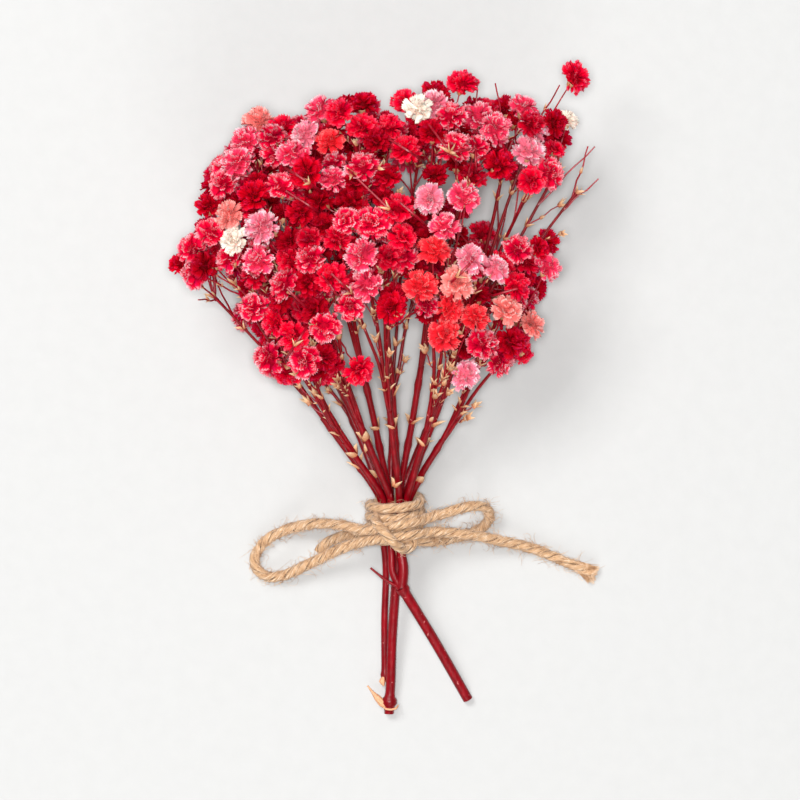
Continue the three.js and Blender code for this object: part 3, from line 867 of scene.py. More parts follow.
FLOOR_SIZE = 8
VIEW_MIDDLE = Vector((0.004, -0.0025, 0.03))
SENSOR_WIDTH = 36
FARTHEST_SEEN = 20
LIT_SPOT = Vector((0, 0.02, 0.03))
# Name, place in metres, size in metres, and watts.
LIGHTS = [
    ("key_light", (-0.55, 0.6, 1.35), 0.6, 17),
    ("front_light", (-0.02, 0.02, 3.3), 0.4, 106),
    ("foot_light", (0.1, -1.15, 0.8), 0.8, 7),
]
SKY_STRENGTH = 0.19


class OBJECT_OT_bunch_stage(bpy.types.Operator):
    """Makes the floor, the lights and the camera"""

    bl_idname = "object.bunch_stage"
    bl_label = "Stage"

    def execute(self, context):
        settings = context.scene.bunch_stage
        deselect()
        bpy.ops.mesh.primitive_plane_add(size=FLOOR_SIZE, location=(0, 0, 0))
        floor = context.object
        floor.name = "floor"
        floor.data.materials.append(floor_material(settings))

        height = settings.camera_height
        bpy.ops.object.camera_add(location=VIEW_MIDDLE + Vector((0, 0, height)), rotation=(0, 0, 0))
        camera = context.object
        camera.name = "camera"
        camera.data.sensor_width = SENSOR_WIDTH
        camera.data.lens = SENSOR_WIDTH * height / settings.frame_width
        camera.data.clip_end = FARTHEST_SEEN
        context.scene.camera = camera

        for name, at, size, watts in LIGHTS:
            bpy.ops.object.light_add(type="AREA", location=at)
            light = context.object
            light.name = name
            light.data.size = size
            light.data.energy = watts
            light.rotation_euler = (LIT_SPOT - Vector(at)).to_track_quat("-Z", "Y").to_euler()

        sky = bpy.data.worlds.new("soft_light")
        sky.use_nodes = True
        background = sky.node_tree.nodes["Background"]
        background.inputs["Color"].default_value = (1, 1, 1, 1)
        background.inputs["Strength"].default_value = SKY_STRENGTH
        context.scene.world = sky
        context.scene.view_settings.view_transform = "Standard"
        return {"FINISHED"}


# ---- Twine ----

KNOT_OVER = [(-8.7, -1.7, 15.9), (-5, -1.2, 18.2), (0, -0.3, 19.7), (5, 0.7, 18.3), (8.7, 1.7, 15.5)]
KNOT_UNDER = [(-8.7, -4.8, 14.3), (-5, -4.2, 16.7), (0, -3.6, 18.6), (5, -2.9, 17.3), (8.7, -2.3, 14.6)]
KNOT_BACK = [(8.8, -4.8, 11.2), (6.4, -4.5, 13.2), (3, -4.2, 15.4), (0, -3.6, 16.6)]
KNOT_BAND = [
    (-5.4, 2.2, 15.6), (-5.3, 0.6, 19.4), (-2.6, -2.6, 21.6), (0.6, -5.9, 19.6), (2.8, -6.9, 16.6),
    (4.9, -5.6, 15.2), (5.4, -3.2, 14.8),
]
SHORT_END = [
    (-5.6, -2.4, 13), (-8.8, -2.5, 10.2), (-13, -3, 7.4), (-17.2, -4.3, 4.2), (-20.4, -6.3, 2),
    (-21.6, -8, 1.6),
]
LOOP_LEFT = [
    (-9.3, -1.7, 15.5), (-12.3, -0.8, 13.8), (-17.4, 0, 10.6), (-22.4, 0.1, 7.4), (-27.4, -0.7, 4.4),
    (-32.6, -2.4, 2.3), (-36.4, -4.6, 1.7), (-38.9, -7.7, 1.6), (-39.8, -10.4, 1.6),
    (-38.9, -12.9, 1.6), (-36.4, -14.8, 1.8), (-32.6, -14.8, 2.6), (-29.2, -13.7, 3.9),
    (-25.8, -12, 5.2), (-22.4, -10.4, 6.6), (-18.5, -8.4, 8.4), (-14, -6.4, 11), (-9.5, -5, 13.7),
]
LOOP_RIGHT = [
    (9.4, 1.9, 15.1), (11.5, 2.5, 14.4), (15.4, 3.6, 13.3), (19.9, 4.8, 11.8), (23.4, 5.2, 10),
    (26, 4.2, 7.6), (26.6, 1.6, 4.8), (24.4, -1.2, 2.9), (20.7, -2.9, 2.5), (16.8, -3.8, 4),
    (13, -4.5, 6.8), (9.6, -4.9, 10.3),
]
TAIL = [
    (9.35, -2.2, 14.1), (13.2, -2.2, 12.6), (19.9, -2.9, 10), (24.2, -3.5, 8), (29.7, -4.8, 5.2),
    (35.4, -6, 3.1), (39.9, -7.3, 2), (44.2, -9, 1.6), (48.7, -10.9, 1.6), (52.4, -12.4, 1.6),
    (55.6, -14.1, 1.6),
]
MOST_RINGS_APART = 4
FIRST_TURN_SEED = 30
TURNS = 4
TURN_PITCH = 3.05
TURN_RADIUS = 7.15
TURN_SWAY = 0.12
SWAYS = 3.7  # in a turn
STEPS_IN_A_TURN = 24
TURNS_TOP = 7.6
PLIES = 3
PLY_COLUMNS = 8
# Shares of the twine's radius: from its middle to a ply's middle, and a ply's own radius.
PLY_OFFSET = 0.28
PLY_RADIUS = 0.72
RING_STEP = 0.45
# How much the twine's lay wanders, in radians, and how uneven its surface is, as a share of its radius.
WANDER_STEP = 6
LAY_WANDER = 0.4
FINE_FUZZ = 0.018
SLOW_FUZZ = 0.03
PLY_APART = 7  # in the pattern's coordinates, so that no two plies look the same
SMOOTH_TWINE = 80
CAP_CORNERS = [(0, 0), (0.1, 0), (0, 0.1)]
FIRST_UP = (0.0, 0.3, 1.0)  # the first ring of a run is turned by this
# Loose fibres. Lengths and radii are in millimetres, and the curl is in radians.
FIBRE_SHORTEST = 1.2
FIBRE_LIFT = (0.0, 0.6)
FIBRE_ASIDE = (-0.6, 0.3)
FIBRE_SPREAD = (0.35, 1)
FIBRE_POWER = 1.3
FIBRE_CURL = (0.4, 4.2)
FIBRE_SUNK = 0.8  # where it starts, as a share of the twine's radius
FIBRE_TAPER = np.array([1, 1, 1, 0.9, 0.7, 0.4])
FIBRE_RADIUS = (0.028, 0.052)
OVER_FLOOR = 0.08
# One loose fibre in every so many millimetres, the first seed, and the longest fibre.
HAIRS = (0.085, 0, 8)
FUZZ = (0.08, 60, 2.5)
KNOT_HAIRS = (0.13, 20, 4.5)
TURN_HAIRS = (0.15, 40, 5.5)
# The fan at the tail's cut end: tufts and fibres, and how they spread.
FRAYED_TUFTS = 12
TUFT_OFF_MIDDLE = (0.2, 1)
TUFT_REACH = (-0.5, 1.0)
FRAYED_FIBRES = 320
FRAYED_STRAY = (0.22, 0.1, 0.25)  # round the twine, off its middle, and lengthwise
FRAYED_BACK = (0.5, 5.5)
FRAYED_REACH = 0.7
FRAYED_RADIUS = 1.45
FRAYED_FLATTER = 0.35
FRAYED_SPREAD = (0.2, 0.36)
FRAYED_FLARE = 1.5
FRAYED_TAPER = np.array([1, 1, 1, 0.9, 0.7])
FRAYED_THICKNESS = (0.06, 0.11)
FRAYED_OVER_FLOOR = 0.12


def frames_along(line):
    """The tangent and two crosswise directions at each point, turning as little as they can."""
    tangent = np.gradient(line, axis=0)
    tangent /= np.linalg.norm(tangent, axis=1)[:, None]
    side = np.zeros_like(line)
    side[0] = unit(np.cross(tangent[0], FIRST_UP))
    for i in range(1, len(line)):
        level = side[i - 1] - tangent[i] * np.dot(side[i - 1], tangent[i])
        side[i] = unit(level)
    return tangent, side, np.cross(tangent, side)


def ply_section():
    """Angle, distance from the middle and place across its ply of each column of the twine's section."""
    columns = PLIES * PLY_COLUMNS
    turn = 2 * math.pi * np.arange(columns) / columns
    across = (np.arange(columns) % PLY_COLUMNS) / PLY_COLUMNS
    off = (across - 0.5) * 2 * math.pi / PLIES
    out = PLY_OFFSET * np.cos(off) + np.sqrt(PLY_RADIUS**2 - (PLY_OFFSET * np.sin(off)) ** 2)
    return turn, out


class TwineRun:
    """A length of twine that several pieces are cut from, so that its plies run on from each to the next."""

    def __init__(self, points, radius, pitch, seed):
        self.line = smooth_line(points, RING_STEP)
        self.frames = frames_along(self.line)
        self.along = along_line(self.line)
        self.radius = radius
        rng = np.random.default_rng(seed)
        knots = np.arange(0, self.along[-1] + 2 * WANDER_STEP, WANDER_STEP)
        wander = np.interp(self.along, knots, rng.normal(0, LAY_WANDER, len(knots)))
        self.twist = wander - 2 * math.pi * self.along / pitch
        self.fuzz = rng.normal(0, FINE_FUZZ, (len(self.line), PLIES * PLY_COLUMNS))
        self.fuzz += np.interp(self.along, knots, rng.normal(0, SLOW_FUZZ, len(knots)))[:, None]

    def nearest(self, point):
        return int(np.argmin(np.linalg.norm(self.line - np.array(point), axis=1)))

    def rings_of(self, route):
        """The rings at which a stretch of the twine starts and ends."""
        return sorted((self.nearest(route[0]), self.nearest(route[-1])))

    def piece(self, name, start, end):
        """The twine from one ring to another, as a closed mesh."""
        turn, out = ply_section()
        rings = np.arange(start, end + 1)
        columns = len(turn)
        _, side, up = self.frames
        angle = turn[None, :] + self.twist[rings][:, None]
        reach = self.radius * (out[None, :] + self.fuzz[rings])
        points = (
            self.line[rings][:, None]
            + reach[..., None] * np.cos(angle)[..., None] * side[rings][:, None]
            + reach[..., None] * np.sin(angle)[..., None] * up[rings][:, None]
        )
        ends = self.line[[start, end]]
        vertices = world(np.concatenate([points.reshape(-1, 3), ends]))
        count = len(rings)
        faces = []
        corners = []
        for ring in range(count - 1):
            for column in range(columns):
                a = ring * columns + column
                b = ring * columns + (column + 1) % columns
                faces.append((a, b, b + columns, a + columns))
                left = (column % PLY_COLUMNS) / PLY_COLUMNS + column // PLY_COLUMNS * PLY_APART
                right = left + 1 / PLY_COLUMNS
                low, high = self.along[rings[ring]], self.along[rings[ring + 1]]
                corners += [(left, low), (right, low), (right, high), (left, high)]
        for ring, middle, flip in ((0, count * columns, True), (count - 1, count * columns + 1, False)):
            for column in range(columns):
                a = ring * columns + column
                b = ring * columns + (column + 1) % columns
                faces.append((b, a, middle) if flip else (a, b, middle))
                corners += CAP_CORNERS
        mesh = bpy.data.meshes.new(name)
        mesh.from_pydata(vertices.tolist(), [], faces)
        layer = mesh.uv_layers.new(name="ply")
        layer.data.foreach_set("uv", np.array(corners, np.float32).ravel())
        made = bpy.data.objects.new(name, mesh)
        bpy.context.collection.objects.link(made)
        low_out, high_out = out.min(), out.max()
        depth = np.concatenate([np.tile((out - low_out) / (high_out - low_out), count), [0, 0]])
        set_values(made, "depth", depth)
        edit(made, everywhere, bpy.ops.mesh.normals_make_consistent, inside=False)
        smoothed(made, SMOOTH_TWINE)
        return made

    def fibres(self, name, start, end, kind, number):
        """Loose fibres that stand off the twine, as thin bars."""
        every, first_seed, longest = kind
        rng = np.random.default_rng(first_seed + number)
        tangent, side, up = self.frames
        runs = []
        count = int((self.along[end] - self.along[start]) / every)
        for _ in range(count):
            ring = int(rng.integers(start, end))
            turn = rng.uniform(0, 2 * math.pi)
            out = math.cos(turn) * side[ring] + math.sin(turn) * up[ring]
            heading = unit(tangent[ring] * rng.choice([-1, 1]) + out * rng.uniform(*FIBRE_LIFT))
            reach = rng.uniform(FIBRE_SHORTEST, longest) * rng.uniform(*FIBRE_SPREAD) ** FIBRE_POWER
            beside = unit(np.cross(heading, out) + out * rng.uniform(*FIBRE_ASIDE))
            curl = rng.choice([-1, 1]) * rng.uniform(*FIBRE_CURL)
            swept = curl * np.linspace(0, 1, len(FIBRE_TAPER))[:, None]
            begin = self.line[ring] + out * self.radius * FIBRE_SUNK
            line = begin + reach / curl * (heading * np.sin(swept) + beside * (1 - np.cos(swept)))
            line[:, 2] = np.maximum(line[:, 2], OVER_FLOOR)
            runs.append((line, FIBRE_TAPER * rng.uniform(*FIBRE_RADIUS)))
        return drawn_tubes(name, runs, 0)


def whole_twine(settings):
    """The twine from behind the knot, round the right loop, over the knot, round the left loop and out."""
    points = [*KNOT_BACK[::-1], *LOOP_RIGHT[::-1], *KNOT_OVER[::-1], *LOOP_LEFT, *KNOT_UNDER, *TAIL]
    return TwineRun(points, settings.twine_radius / MM, settings.ply_pitch / MM, 3)


class OBJECT_OT_bunch_bow(bpy.types.Operator):
    """Makes the two loops and the long tail of the twine"""

    bl_idname = "object.bunch_bow"
    bl_label = "Twine bow"

    def execute(self, context):
        settings = context.scene.bunch_twine
        jute = jute_material(settings)
        fibre = fibre_material(settings)
        twine = whole_twine(settings)
        for name, route, far_end, seed in (
            ("twine_loop_left", LOOP_LEFT, "object", 15),
            ("twine_loop_right", LOOP_RIGHT, "object", 16),
            ("twine_tail", TAIL, "bare", 10),
        ):
            start, end = twine.rings_of(route)
            made = twine.piece(name + "_plies", start, end)
            finished(made, jute)
            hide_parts(name)
            loose = [twine.fibres(name + "_fibre", start, end, kind, seed) for kind in (HAIRS, FUZZ)]
            with_pieces = [joined(loose, name + "_fibres")]
            if far_end == "bare":
                with_pieces.append(frayed_end(twine, end))
            for piece in with_pieces:
                finished(piece, fibre)
            path = world(twine.line[start : end + 1])
            if name == "twine_loop_right":
                path = path[::-1]
        return {"FINISHED"}


def frayed_end(twine, end):
    """The fan of fibres at the cut end of the tail."""
    rng = np.random.default_rng(5)
    tangent, side, up = (vectors[end] for vectors in twine.frames)
    runs = []
    tufts = [
        (rng.uniform(0, 2 * math.pi), rng.uniform(*TUFT_OFF_MIDDLE), rng.uniform(*TUFT_REACH))
        for _ in range(FRAYED_TUFTS)
    ]
    stray_round, stray_off, stray_along = FRAYED_STRAY
    for _ in range(FRAYED_FIBRES):
        tuft_turn, tuft_off, tuft_reach = tufts[int(rng.integers(len(tufts)))]
        turn = tuft_turn + rng.normal(0, stray_round)
        out = math.cos(turn) * side + math.sin(turn) * up
        off_middle = np.clip(tuft_off + rng.normal(0, stray_off), 0, 1)
        back = rng.uniform(*FRAYED_BACK)
        begin = twine.line[end] - tangent * back + out * FRAYED_RADIUS * off_middle
        spread = np.array([out[0], out[1], out[2] * FRAYED_FLATTER])
        reach = back + FRAYED_REACH + tuft_reach + rng.normal(0, stray_along)
        share = np.linspace(0, 1, len(FRAYED_TAPER))[:, None]
        flare = off_middle * rng.uniform(*FRAYED_SPREAD) * share**FRAYED_FLARE
        line = begin + reach * (tangent * share + spread * flare)
        line[:, 2] = np.maximum(line[:, 2], FRAYED_OVER_FLOOR)
        runs.append((line, FRAYED_TAPER * rng.uniform(*FRAYED_THICKNESS)))
    return drawn_tubes("twine_tail_frayed_end", runs, 0)


def turn_points():
    """A line that winds round the stems, from behind them at the top to behind them at the bottom."""
    along = unit(np.array([0, 1, LEAN]))
    across = np.array([1.0, 0, 0])
    front = np.cross(across, along)
    points = []
    steps = STEPS_IN_A_TURN * TURNS
    for step in range(steps + 1):
        turn = 2 * math.pi * TURNS * step / steps
        height = TURNS_TOP - TURN_PITCH * TURNS * step / steps
        out = TURN_RADIUS + TURN_SWAY * math.sin(SWAYS * turn)
        spot = np.array([0, 0, TIE_HEIGHT]) + along * height
        points.append(spot + out * (across * math.sin(turn) - front * math.cos(turn)))
    return points


class OBJECT_OT_bunch_tie(bpy.types.Operator):
    """Makes the turns of twine round the stems, the knot and the short end"""

    bl_idname = "object.bunch_tie"
    bl_label = "Twine tie"

    def execute(self, context):
        settings = context.scene.bunch_twine
        radius = settings.twine_radius / MM
        pitch = settings.ply_pitch / MM
        twine = whole_twine(settings)
        parts = []
        loose = []
        # The knot runs on to the rings where the loops and the tail start.
        bow_ends = [*twine.rings_of(LOOP_LEFT), *twine.rings_of(LOOP_RIGHT), twine.nearest(TAIL[0])]
        for number, route in enumerate((KNOT_OVER, KNOT_UNDER, KNOT_BACK)):
            start, end = twine.rings_of(route)
            start = max([ring for ring in bow_ends if 0 <= start - ring <= MOST_RINGS_APART], default=start)
            end = min([ring for ring in bow_ends if 0 <= ring - end <= MOST_RINGS_APART], default=end)
            parts.append(twine.piece(f"knot_{number}", start, end))
            loose.append(twine.fibres(f"knot_fibres_{number}", start, end, KNOT_HAIRS, number))
        for number, points in enumerate((turn_points(), KNOT_BAND, SHORT_END)):
            run = TwineRun(points, radius, pitch, FIRST_TURN_SEED + number)
            last = len(run.line) - 1
            parts.append(run.piece(f"turn_{number}", 0, last))
            loose.append(run.fibres(f"turn_fibres_{number}", 0, last, TURN_HAIRS, number))
        tie = joined(parts, "twine_tie_plies")
        finished(tie, bpy.data.materials["jute_twine"])
        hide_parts("twine_tie")
        finished(joined(loose, "twine_tie_fibres"), bpy.data.materials["jute_fibre"])
        return {"FINISHED"}


# ---- Stems ----

# Waves along a run in the first direction, and how many more in each of the others.
WAVES = 1.3
MORE_WAVES = 0.4
# How far a run strays from its curve, in millimetres, and how many points it has.
STEM_KINK = 0.12
BRANCH_KINK = 0.3
STALK_KINK = 0.3
TWIG_KINK = 0.25
STEM_POINTS = 22
BRANCH_POINTS = 16
STALK_POINTS = 7
TWIG_POINTS = 6
# How a run tapers from its base to its tip, as shares of its radius. Then the nodes that it swells at, as
# shares of its length, and how much and over how many millimetres it swells there.
STEM_SHAPE = (1, 0.86, [0.55, 0.9], 0.28, 0.9)
BRANCH_SHAPE = (1, 0.7, [0.4, 0.8, 1], 0.45, 0.6)
STALK_SHAPE = (1.15, 0.8, [0], 0.4, 0.5)
TWIG_SHAPE = (1, 0.8, [0.5], 0.5, 0.4)
TWIG_THINNER = 0.85
BRANCH_SPREAD = (0.95, 1.3)
STALK_IN_BLOOM = 0.45
# Twigs: how many of the rings below have one, and how they stray, rise and differ in length.
TWIG_SHARE = 0.6
TWIG_NODES = (6, 9, 12)
TWIG_STRAY = 0.35
TWIG_RISE = 0.06
TWIG_LENGTH = (5, 11)
TWIG_OVER_FLOOR = 0.5
CROSSING_RADIUS = 0.36
CROSSING_STEP = 1.5


def waved(line, rng, size):
    """The line with a slight crookedness, which fades at its ends."""
    share = np.linspace(0, 1, len(line))
    fade = np.sin(math.pi * share)[:, None]
    turn = rng.uniform(0, 2 * math.pi, 3)
    waves = [2 * math.pi * share * (WAVES + MORE_WAVES * k) + turn[k] for k in range(3)]
    return line + np.sin(np.stack(waves, axis=1)) * fade * size


def with_nodes(line, radius, shape):
    """Radii that taper along a line and swell at its nodes."""
    base, tip, nodes, swelling, wide = shape
    along = along_line(line)
    radii = radius * base + (radius * tip - radius * base) * along / along[-1]
    for share in nodes:
        radii = radii * (1 + swelling * np.exp(-(((along - share * along[-1]) / wide) ** 2)))
    return radii


def leg_runs():
    """The stems that run on below the tie, as (spray, line, radii). Their shapes are in millimetres."""
    collar = np.array([1.9, -17.8, 11.6])
    foot = np.array([20.6, -49.6, 1.6])
    knuckle = np.array([-1.6, -50.4, 2.6])
    splayed = smooth_line([foot, (foot + collar) / 2 + [0.3, 0, 0.2], collar], 1)
    right = smooth_line([collar, (2.3, -12, 12.3), (1.7, -8.5, 12.4), place(1.25, -5.2, 3.8)], 1)
    left = smooth_line([(1.6, -18, 11.5), (-0.7, -13.4, 12), (-1, -9, 12.2), place(-1.25, -5.6, 3.8)], 1)
    twig = smooth_line([(1, -17.8, 11.8), (-3, -15.4, 12.4), (-6.9, -12.3, 12.8)], 0.8)
    lower = [(-1.7, -53.6, 2.1), knuckle, (-1.3, -46, 3.3), (-0.9, -34, 5.4)]
    straight = smooth_line([*lower, (0.1, -18.8, 7.9), place(1.2, -5.2, 1.2)], 1)
    thin = smooth_line([(-2.9, -44.6, 1.1), (-3, -28, 3.2), (-2.8, -9, 5.7), place(-3.25, -5.2, -2.4)], 1)
    return [
        ("spray_middle", splayed, with_nodes(splayed, 1, (1.4, 1.45, [0.985], 0.45, 0.9))),
        ("spray_middle", right, with_nodes(right, 1, (1.6, 1.3, [], 0, 1))),
        ("spray_middle", left, with_nodes(left, 1, (1.15, 1.0, [], 0, 1))),
        ("spray_middle", twig, with_nodes(twig, 1, (0.5, 0.3, [0.55], 0.3, 0.5))),
        ("spray_top_middle", straight, with_nodes(straight, 1, (1.35, 1.3, [0.07], 0.75, 1.1))),
        ("spray_back_left", thin, with_nodes(thin, 1, (0.95, 0.95, [0.05], 0.3, 0.8))),
    ]


def stem_runs(spray, settings, rng):
    """Thick and thin runs of one spray: its stem and branches, and the stalks of its blooms."""
    thick = []
    thin = []
    rising = bezier(spray["rising"], np.linspace(0, 1, STEM_POINTS))
    line = np.vstack([spray["low"], rising])
    line[1:] = waved(line[1:], rng, STEM_KINK)
    thick.append((line, with_nodes(line, settings.stem_radius / MM, STEM_SHAPE)))
    for branch in spray["branches"]:
        line = waved(bezier(branch["curve"], np.linspace(0, 1, BRANCH_POINTS)), rng, BRANCH_KINK)
        radius = settings.branch_radius / MM * rng.uniform(*BRANCH_SPREAD)
        branch["line"] = line
        thick.append((line, with_nodes(line, radius, BRANCH_SHAPE)))
        for bloom in branch["blooms"]:
            thin.append(stalk_run(bloom, settings, rng))
        branch["twigs"] = [twig_line(line, ring, rng) for ring in TWIG_NODES if rng.random() < TWIG_SHARE]
        radius = settings.stalk_radius / MM * TWIG_THINNER
        thin += [(twig, with_nodes(twig, radius, TWIG_SHAPE)) for twig in branch["twigs"]]
    for crossing in spray["crossing"]:
        line = smooth_line([crossing[part] for part in ("root", "fork", "middle", "end")], CROSSING_STEP)
        thin.append((line, np.full(len(line), CROSSING_RADIUS)))
    return thick, thin


def twig_line(line, ring, rng):
    """A thin twig that leaves a branch at one of its nodes and ends in a bud."""
    along = unit(line[ring] - line[ring - 1])
    heading = unit(along + rng.normal(0, TWIG_STRAY, 3) + [0, 0, TWIG_RISE * ring])
    straight = line[ring] + heading * rng.uniform(*TWIG_LENGTH) * np.linspace(0, 1, TWIG_POINTS)[:, None]
    twig = waved(straight, rng, TWIG_KINK)
    twig[:, 2] = np.maximum(twig[:, 2], TWIG_OVER_FLOOR)
    return twig


def stalk_run(bloom, settings, rng):
    """The thin stalk of a bloom, slightly bowed."""
    start, end = bloom["from"], bloom["at"]
    if not bloom["bud"]:
        end = end - unit(end - start) * bloom["radius"] * STALK_IN_BLOOM
    line = waved(start + (end - start) * np.linspace(0, 1, STALK_POINTS)[:, None], rng, STALK_KINK)
    bloom["stalk"] = line
    return line, with_nodes(line, settings.stalk_radius / MM, STALK_SHAPE)


class OBJECT_OT_bunch_stems(bpy.types.Operator):
    """Makes the stems, branches and stalks of every spray"""

    bl_idname = "object.bunch_stems"
    bl_label = "Stems"

    def execute(self, context):
        settings = context.scene.bunch_stems
        material = stem_material(settings)
        rng = np.random.default_rng(7)
        legs = leg_runs()
        for spray in SPRAYS:
            name = spray["name"]
            thick, thin = stem_runs(spray, settings, rng)
            parts = [
                drawn_tubes(name + "_thick", thick, 3, settings.stem),
                drawn_tubes(name + "_thin", thin, 1, settings.stalk),
            ]
            own_legs = [(line, radii) for owner, line, radii in legs if owner == name]
            if own_legs:
                parts.append(drawn_tubes(name + "_legs", own_legs, 4, settings.stem))
            finished(joined(parts, name + "_stems"), material)
        return {"FINISHED"}


# ---- Bracts ----

# Columns of a flat bract, as how far each is from its middle and how far round it is bent, in degrees. Then
# its rows, from the tip to the base: how far up each is, how wide, and how far it is moved to flare outwards.
BRACT_COLUMNS = [(0.25, 40), (0.5, 80)]
BRACT_WIDER = 1.3
BRACT_ROWS = [(1, 0.05, -0.9), (2 / 3, 0.5, -0.4), (1 / 3, 0.9, -0.1), (0, 1.0, 0)]
BRACT_THICKNESS = 0.12
NEAR = 0.02
# Points round a calyx, the radius of its base, its rings as height and radius, and how deep it is cut between
# its teeth.
CALYX_POINTS = 10
CALYX_BASE = 0.14
CALYX_RINGS = [(0.3, 0.36), (0.75, 0.46), (1.0, 0.5)]
CALYX_CUT = 0.3
SAME_HEIGHT = 1e-4
# How bracts at a fork differ: how far round they stand, in radians, and their lean, width, length and tone.
BRACT_TURN = 0.25
BRACT_LEAN = (0.2, 1.4)
BRACT_WIDTH = (1.05, 1.35)
BRACT_STRETCH = (0.8, 1.4)
BRACT_TONE = (0.8, 1.05)
CLASP = 0.9  # how far out they stand, as a share of the stem's radius
# Bracts at a node: radius of the stem there, their length, how many, and how wide they open.
STEM_BRACTS = (0.95, 2.9, 2, 0.45)
BRANCH_BRACTS = (0.55, 2.4, 2, 0.45)
BRANCH_END_BRACTS = (0.55, 2.4, 3, 0.45)
TWIG_BRACTS = (0.3, 1.6, 2, 0.45)
STALK_BRACTS = (0.3, 1.8, 2, 0.45)
CROSSING_BRACTS = (0.4, 2.6, 3, 0.5)
TIE_BRACTS = (0.7, 3.6, 2, 0.45)
# Where bracts stand: a place and direction over the tie, a range of shares of a stem, and rings of a branch.
ABOVE_TIE = ((0, 10.5, 19), np.array([0.1, 1, 0.3]))
STEM_BRACTS_AT = (0.35, 0.9)
FIRST_NODES = (4, 9)
LAST_NODES = (12, 15)
STALK_BRACT_SHARE = 0.5
# A dry bud is made of bracts too: radius of its stalk, range of lengths, how many, and how wide they open.
DRY_BUD = (0.5, (2, 3.2), 4, 0.2)
# The cup under a bloom: how far below its stalk's end it starts, and its size.
CUP_BELOW = 1.0
CUP_SIZE = 2.6
CUP_TONE = (0.6, 0.95)
# How quickly a bract fades from the colour of its base to that of its tip, and from how far up.
TIP_GAIN = 1.5
TIP_FROM = 0.15


def bract_master():
    """A papery bract along +Z, one long. Its base is half round, of radius one. Its hollow faces -Y."""
    deselect()
    bpy.ops.mesh.primitive_grid_add(x_subdivisions=4, y_subdivisions=3, size=1, location=(0, 0, 0))
    made = bpy.context.object
    made.name = "bract"
    shift(made, everywhere, (0, 0.5, 0))
    for column, turn in BRACT_COLUMNS:
        angle = math.radians(turn)
        shift(made, lambda p: abs(abs(p.x) - column) < NEAR, (0, 0, 1 - math.cos(angle)))
        wide = math.sin(angle) / column * BRACT_WIDER
        squeeze(made, lambda p: abs(abs(p.x) - column) < NEAR, (wide, 1, 1))
    for row, wide, flare in BRACT_ROWS:
        squeeze(made, lambda p: abs(p.y - row) < NEAR, (wide, 1, wide), (0, row, 0))
        shift(made, lambda p: abs(p.y - row) < NEAR, (0, 0, flare))
    set_values(made, "reach", points_of(made)[:, 1])
    thickened(made, BRACT_THICKNESS)
    smoothed(made, 60)
    made.data.transform(Matrix.Rotation(math.pi / 2, 4, "X"))
    return made


def calyx_master():
    """The small cup under a bloom, along +Z from its base at 0 to its teeth at 1."""
    deselect()
    bpy.ops.mesh.primitive_circle_add(
        vertices=CALYX_POINTS, radius=CALYX_BASE, fill_type="TRIFAN", location=(0, 0, 0)
    )
    made = bpy.context.object
    made.name = "calyx"
    top = 0
    for height, wide in CALYX_RINGS:
        edit(
            made,
            lambda p: p.z > top - SAME_HEIGHT,
            bpy.ops.mesh.extrude_region_move,
            TRANSFORM_OT_translate={"value": (0, 0, height - top)},
        )
        now = max(abs(v.co.x) for v in made.data.vertices if v.co.z > height - SAME_HEIGHT)
        squeeze(made, lambda p: p.z > height - SAME_HEIGHT, (wide / now, wide / now, 1), (0, 0, height))
        top = max(v.co.z for v in made.data.vertices)
    rim = [v.co for v in made.data.vertices if v.co.z > top - SAME_HEIGHT and v.co.xy.length > CALYX_BASE / 2]
    between_teeth = {tuple(point) for point in rim[::2]}
    shift(made, lambda p: tuple(p) in between_teeth, (0, 0, -CALYX_CUT))
    set_values(made, "reach", points_of(made)[:, 2])
    smoothed(made, 40)
    return made


def papery(made, settings, tone):
    """Dyes a bract or calyx from its base to its tip."""
    reach = np.clip(get_values(made, "reach") * TIP_GAIN - TIP_FROM, 0, 1)[:, None]
    base, tip = np.array(settings.bract_base), np.array(settings.bract_tip)
    set_dye(made, (base + (tip - base) * reach) * tone)


def bracts_at(master, settings, rng, at, along, kind):
    """Bracts that stand round a stem where it forks. They clasp it, and flare outwards."""
    radius, size, count, open_by = kind
    spin = rng.uniform(0, 2 * math.pi)
    stand = standing(along, world(at), 1)
    parts = []
    for k in range(count):
        turn = Matrix.Rotation(spin + 2 * math.pi * k / count + rng.normal(0, BRACT_TURN), 4, "Z")
        out = Matrix.Translation((0, radius * CLASP * MM, 0))
        lean = Matrix.Rotation(-rng.uniform(*BRACT_LEAN) * open_by, 4, "X")
        wide = radius * MM * rng.uniform(*BRACT_WIDTH)
        sized = Matrix.Diagonal((wide, wide, size * MM * rng.uniform(*BRACT_STRETCH), 1))
        made = lifted(copied(master, stand @ turn @ out @ lean @ sized))
        papery(made, settings, rng.uniform(*BRACT_TONE))
        parts.append(made)
    return parts


# The dry leaf stalk and bud that are left on the cut stems: spray, points, and the radius at each point.
DRY_BITS = [
    (
        "spray_top_middle",
        [(-1.9, -52.2, 2.6), (-3.6, -50.6, 2.9), (-5.2, -48.9, 2.8), (-6.3, -47.6, 2.7), (-7.8, -45.7, 2.6)],
        [0.5, 1.15, 0.95, 0.35, 0.22],
    ),
    (
        "spray_top_middle",
        [(-3.4, -51.6, 3.4), (-2.6, -52.2, 4.4), (-1.2, -52.4, 4.8), (0.3, -52.0, 4.2), (0.9, -51.2, 3.2)],
        [0.2, 0.3, 0.28, 0.3, 0.2],
    ),
    ("spray_back_left", [(-3.2, -43.2, 1.9), (-3.6, -44.3, 2.0), (-3.2, -45.8, 1.7)], [0.4, 0.95, 0.25]),
]
DRY_STEP = 0.5


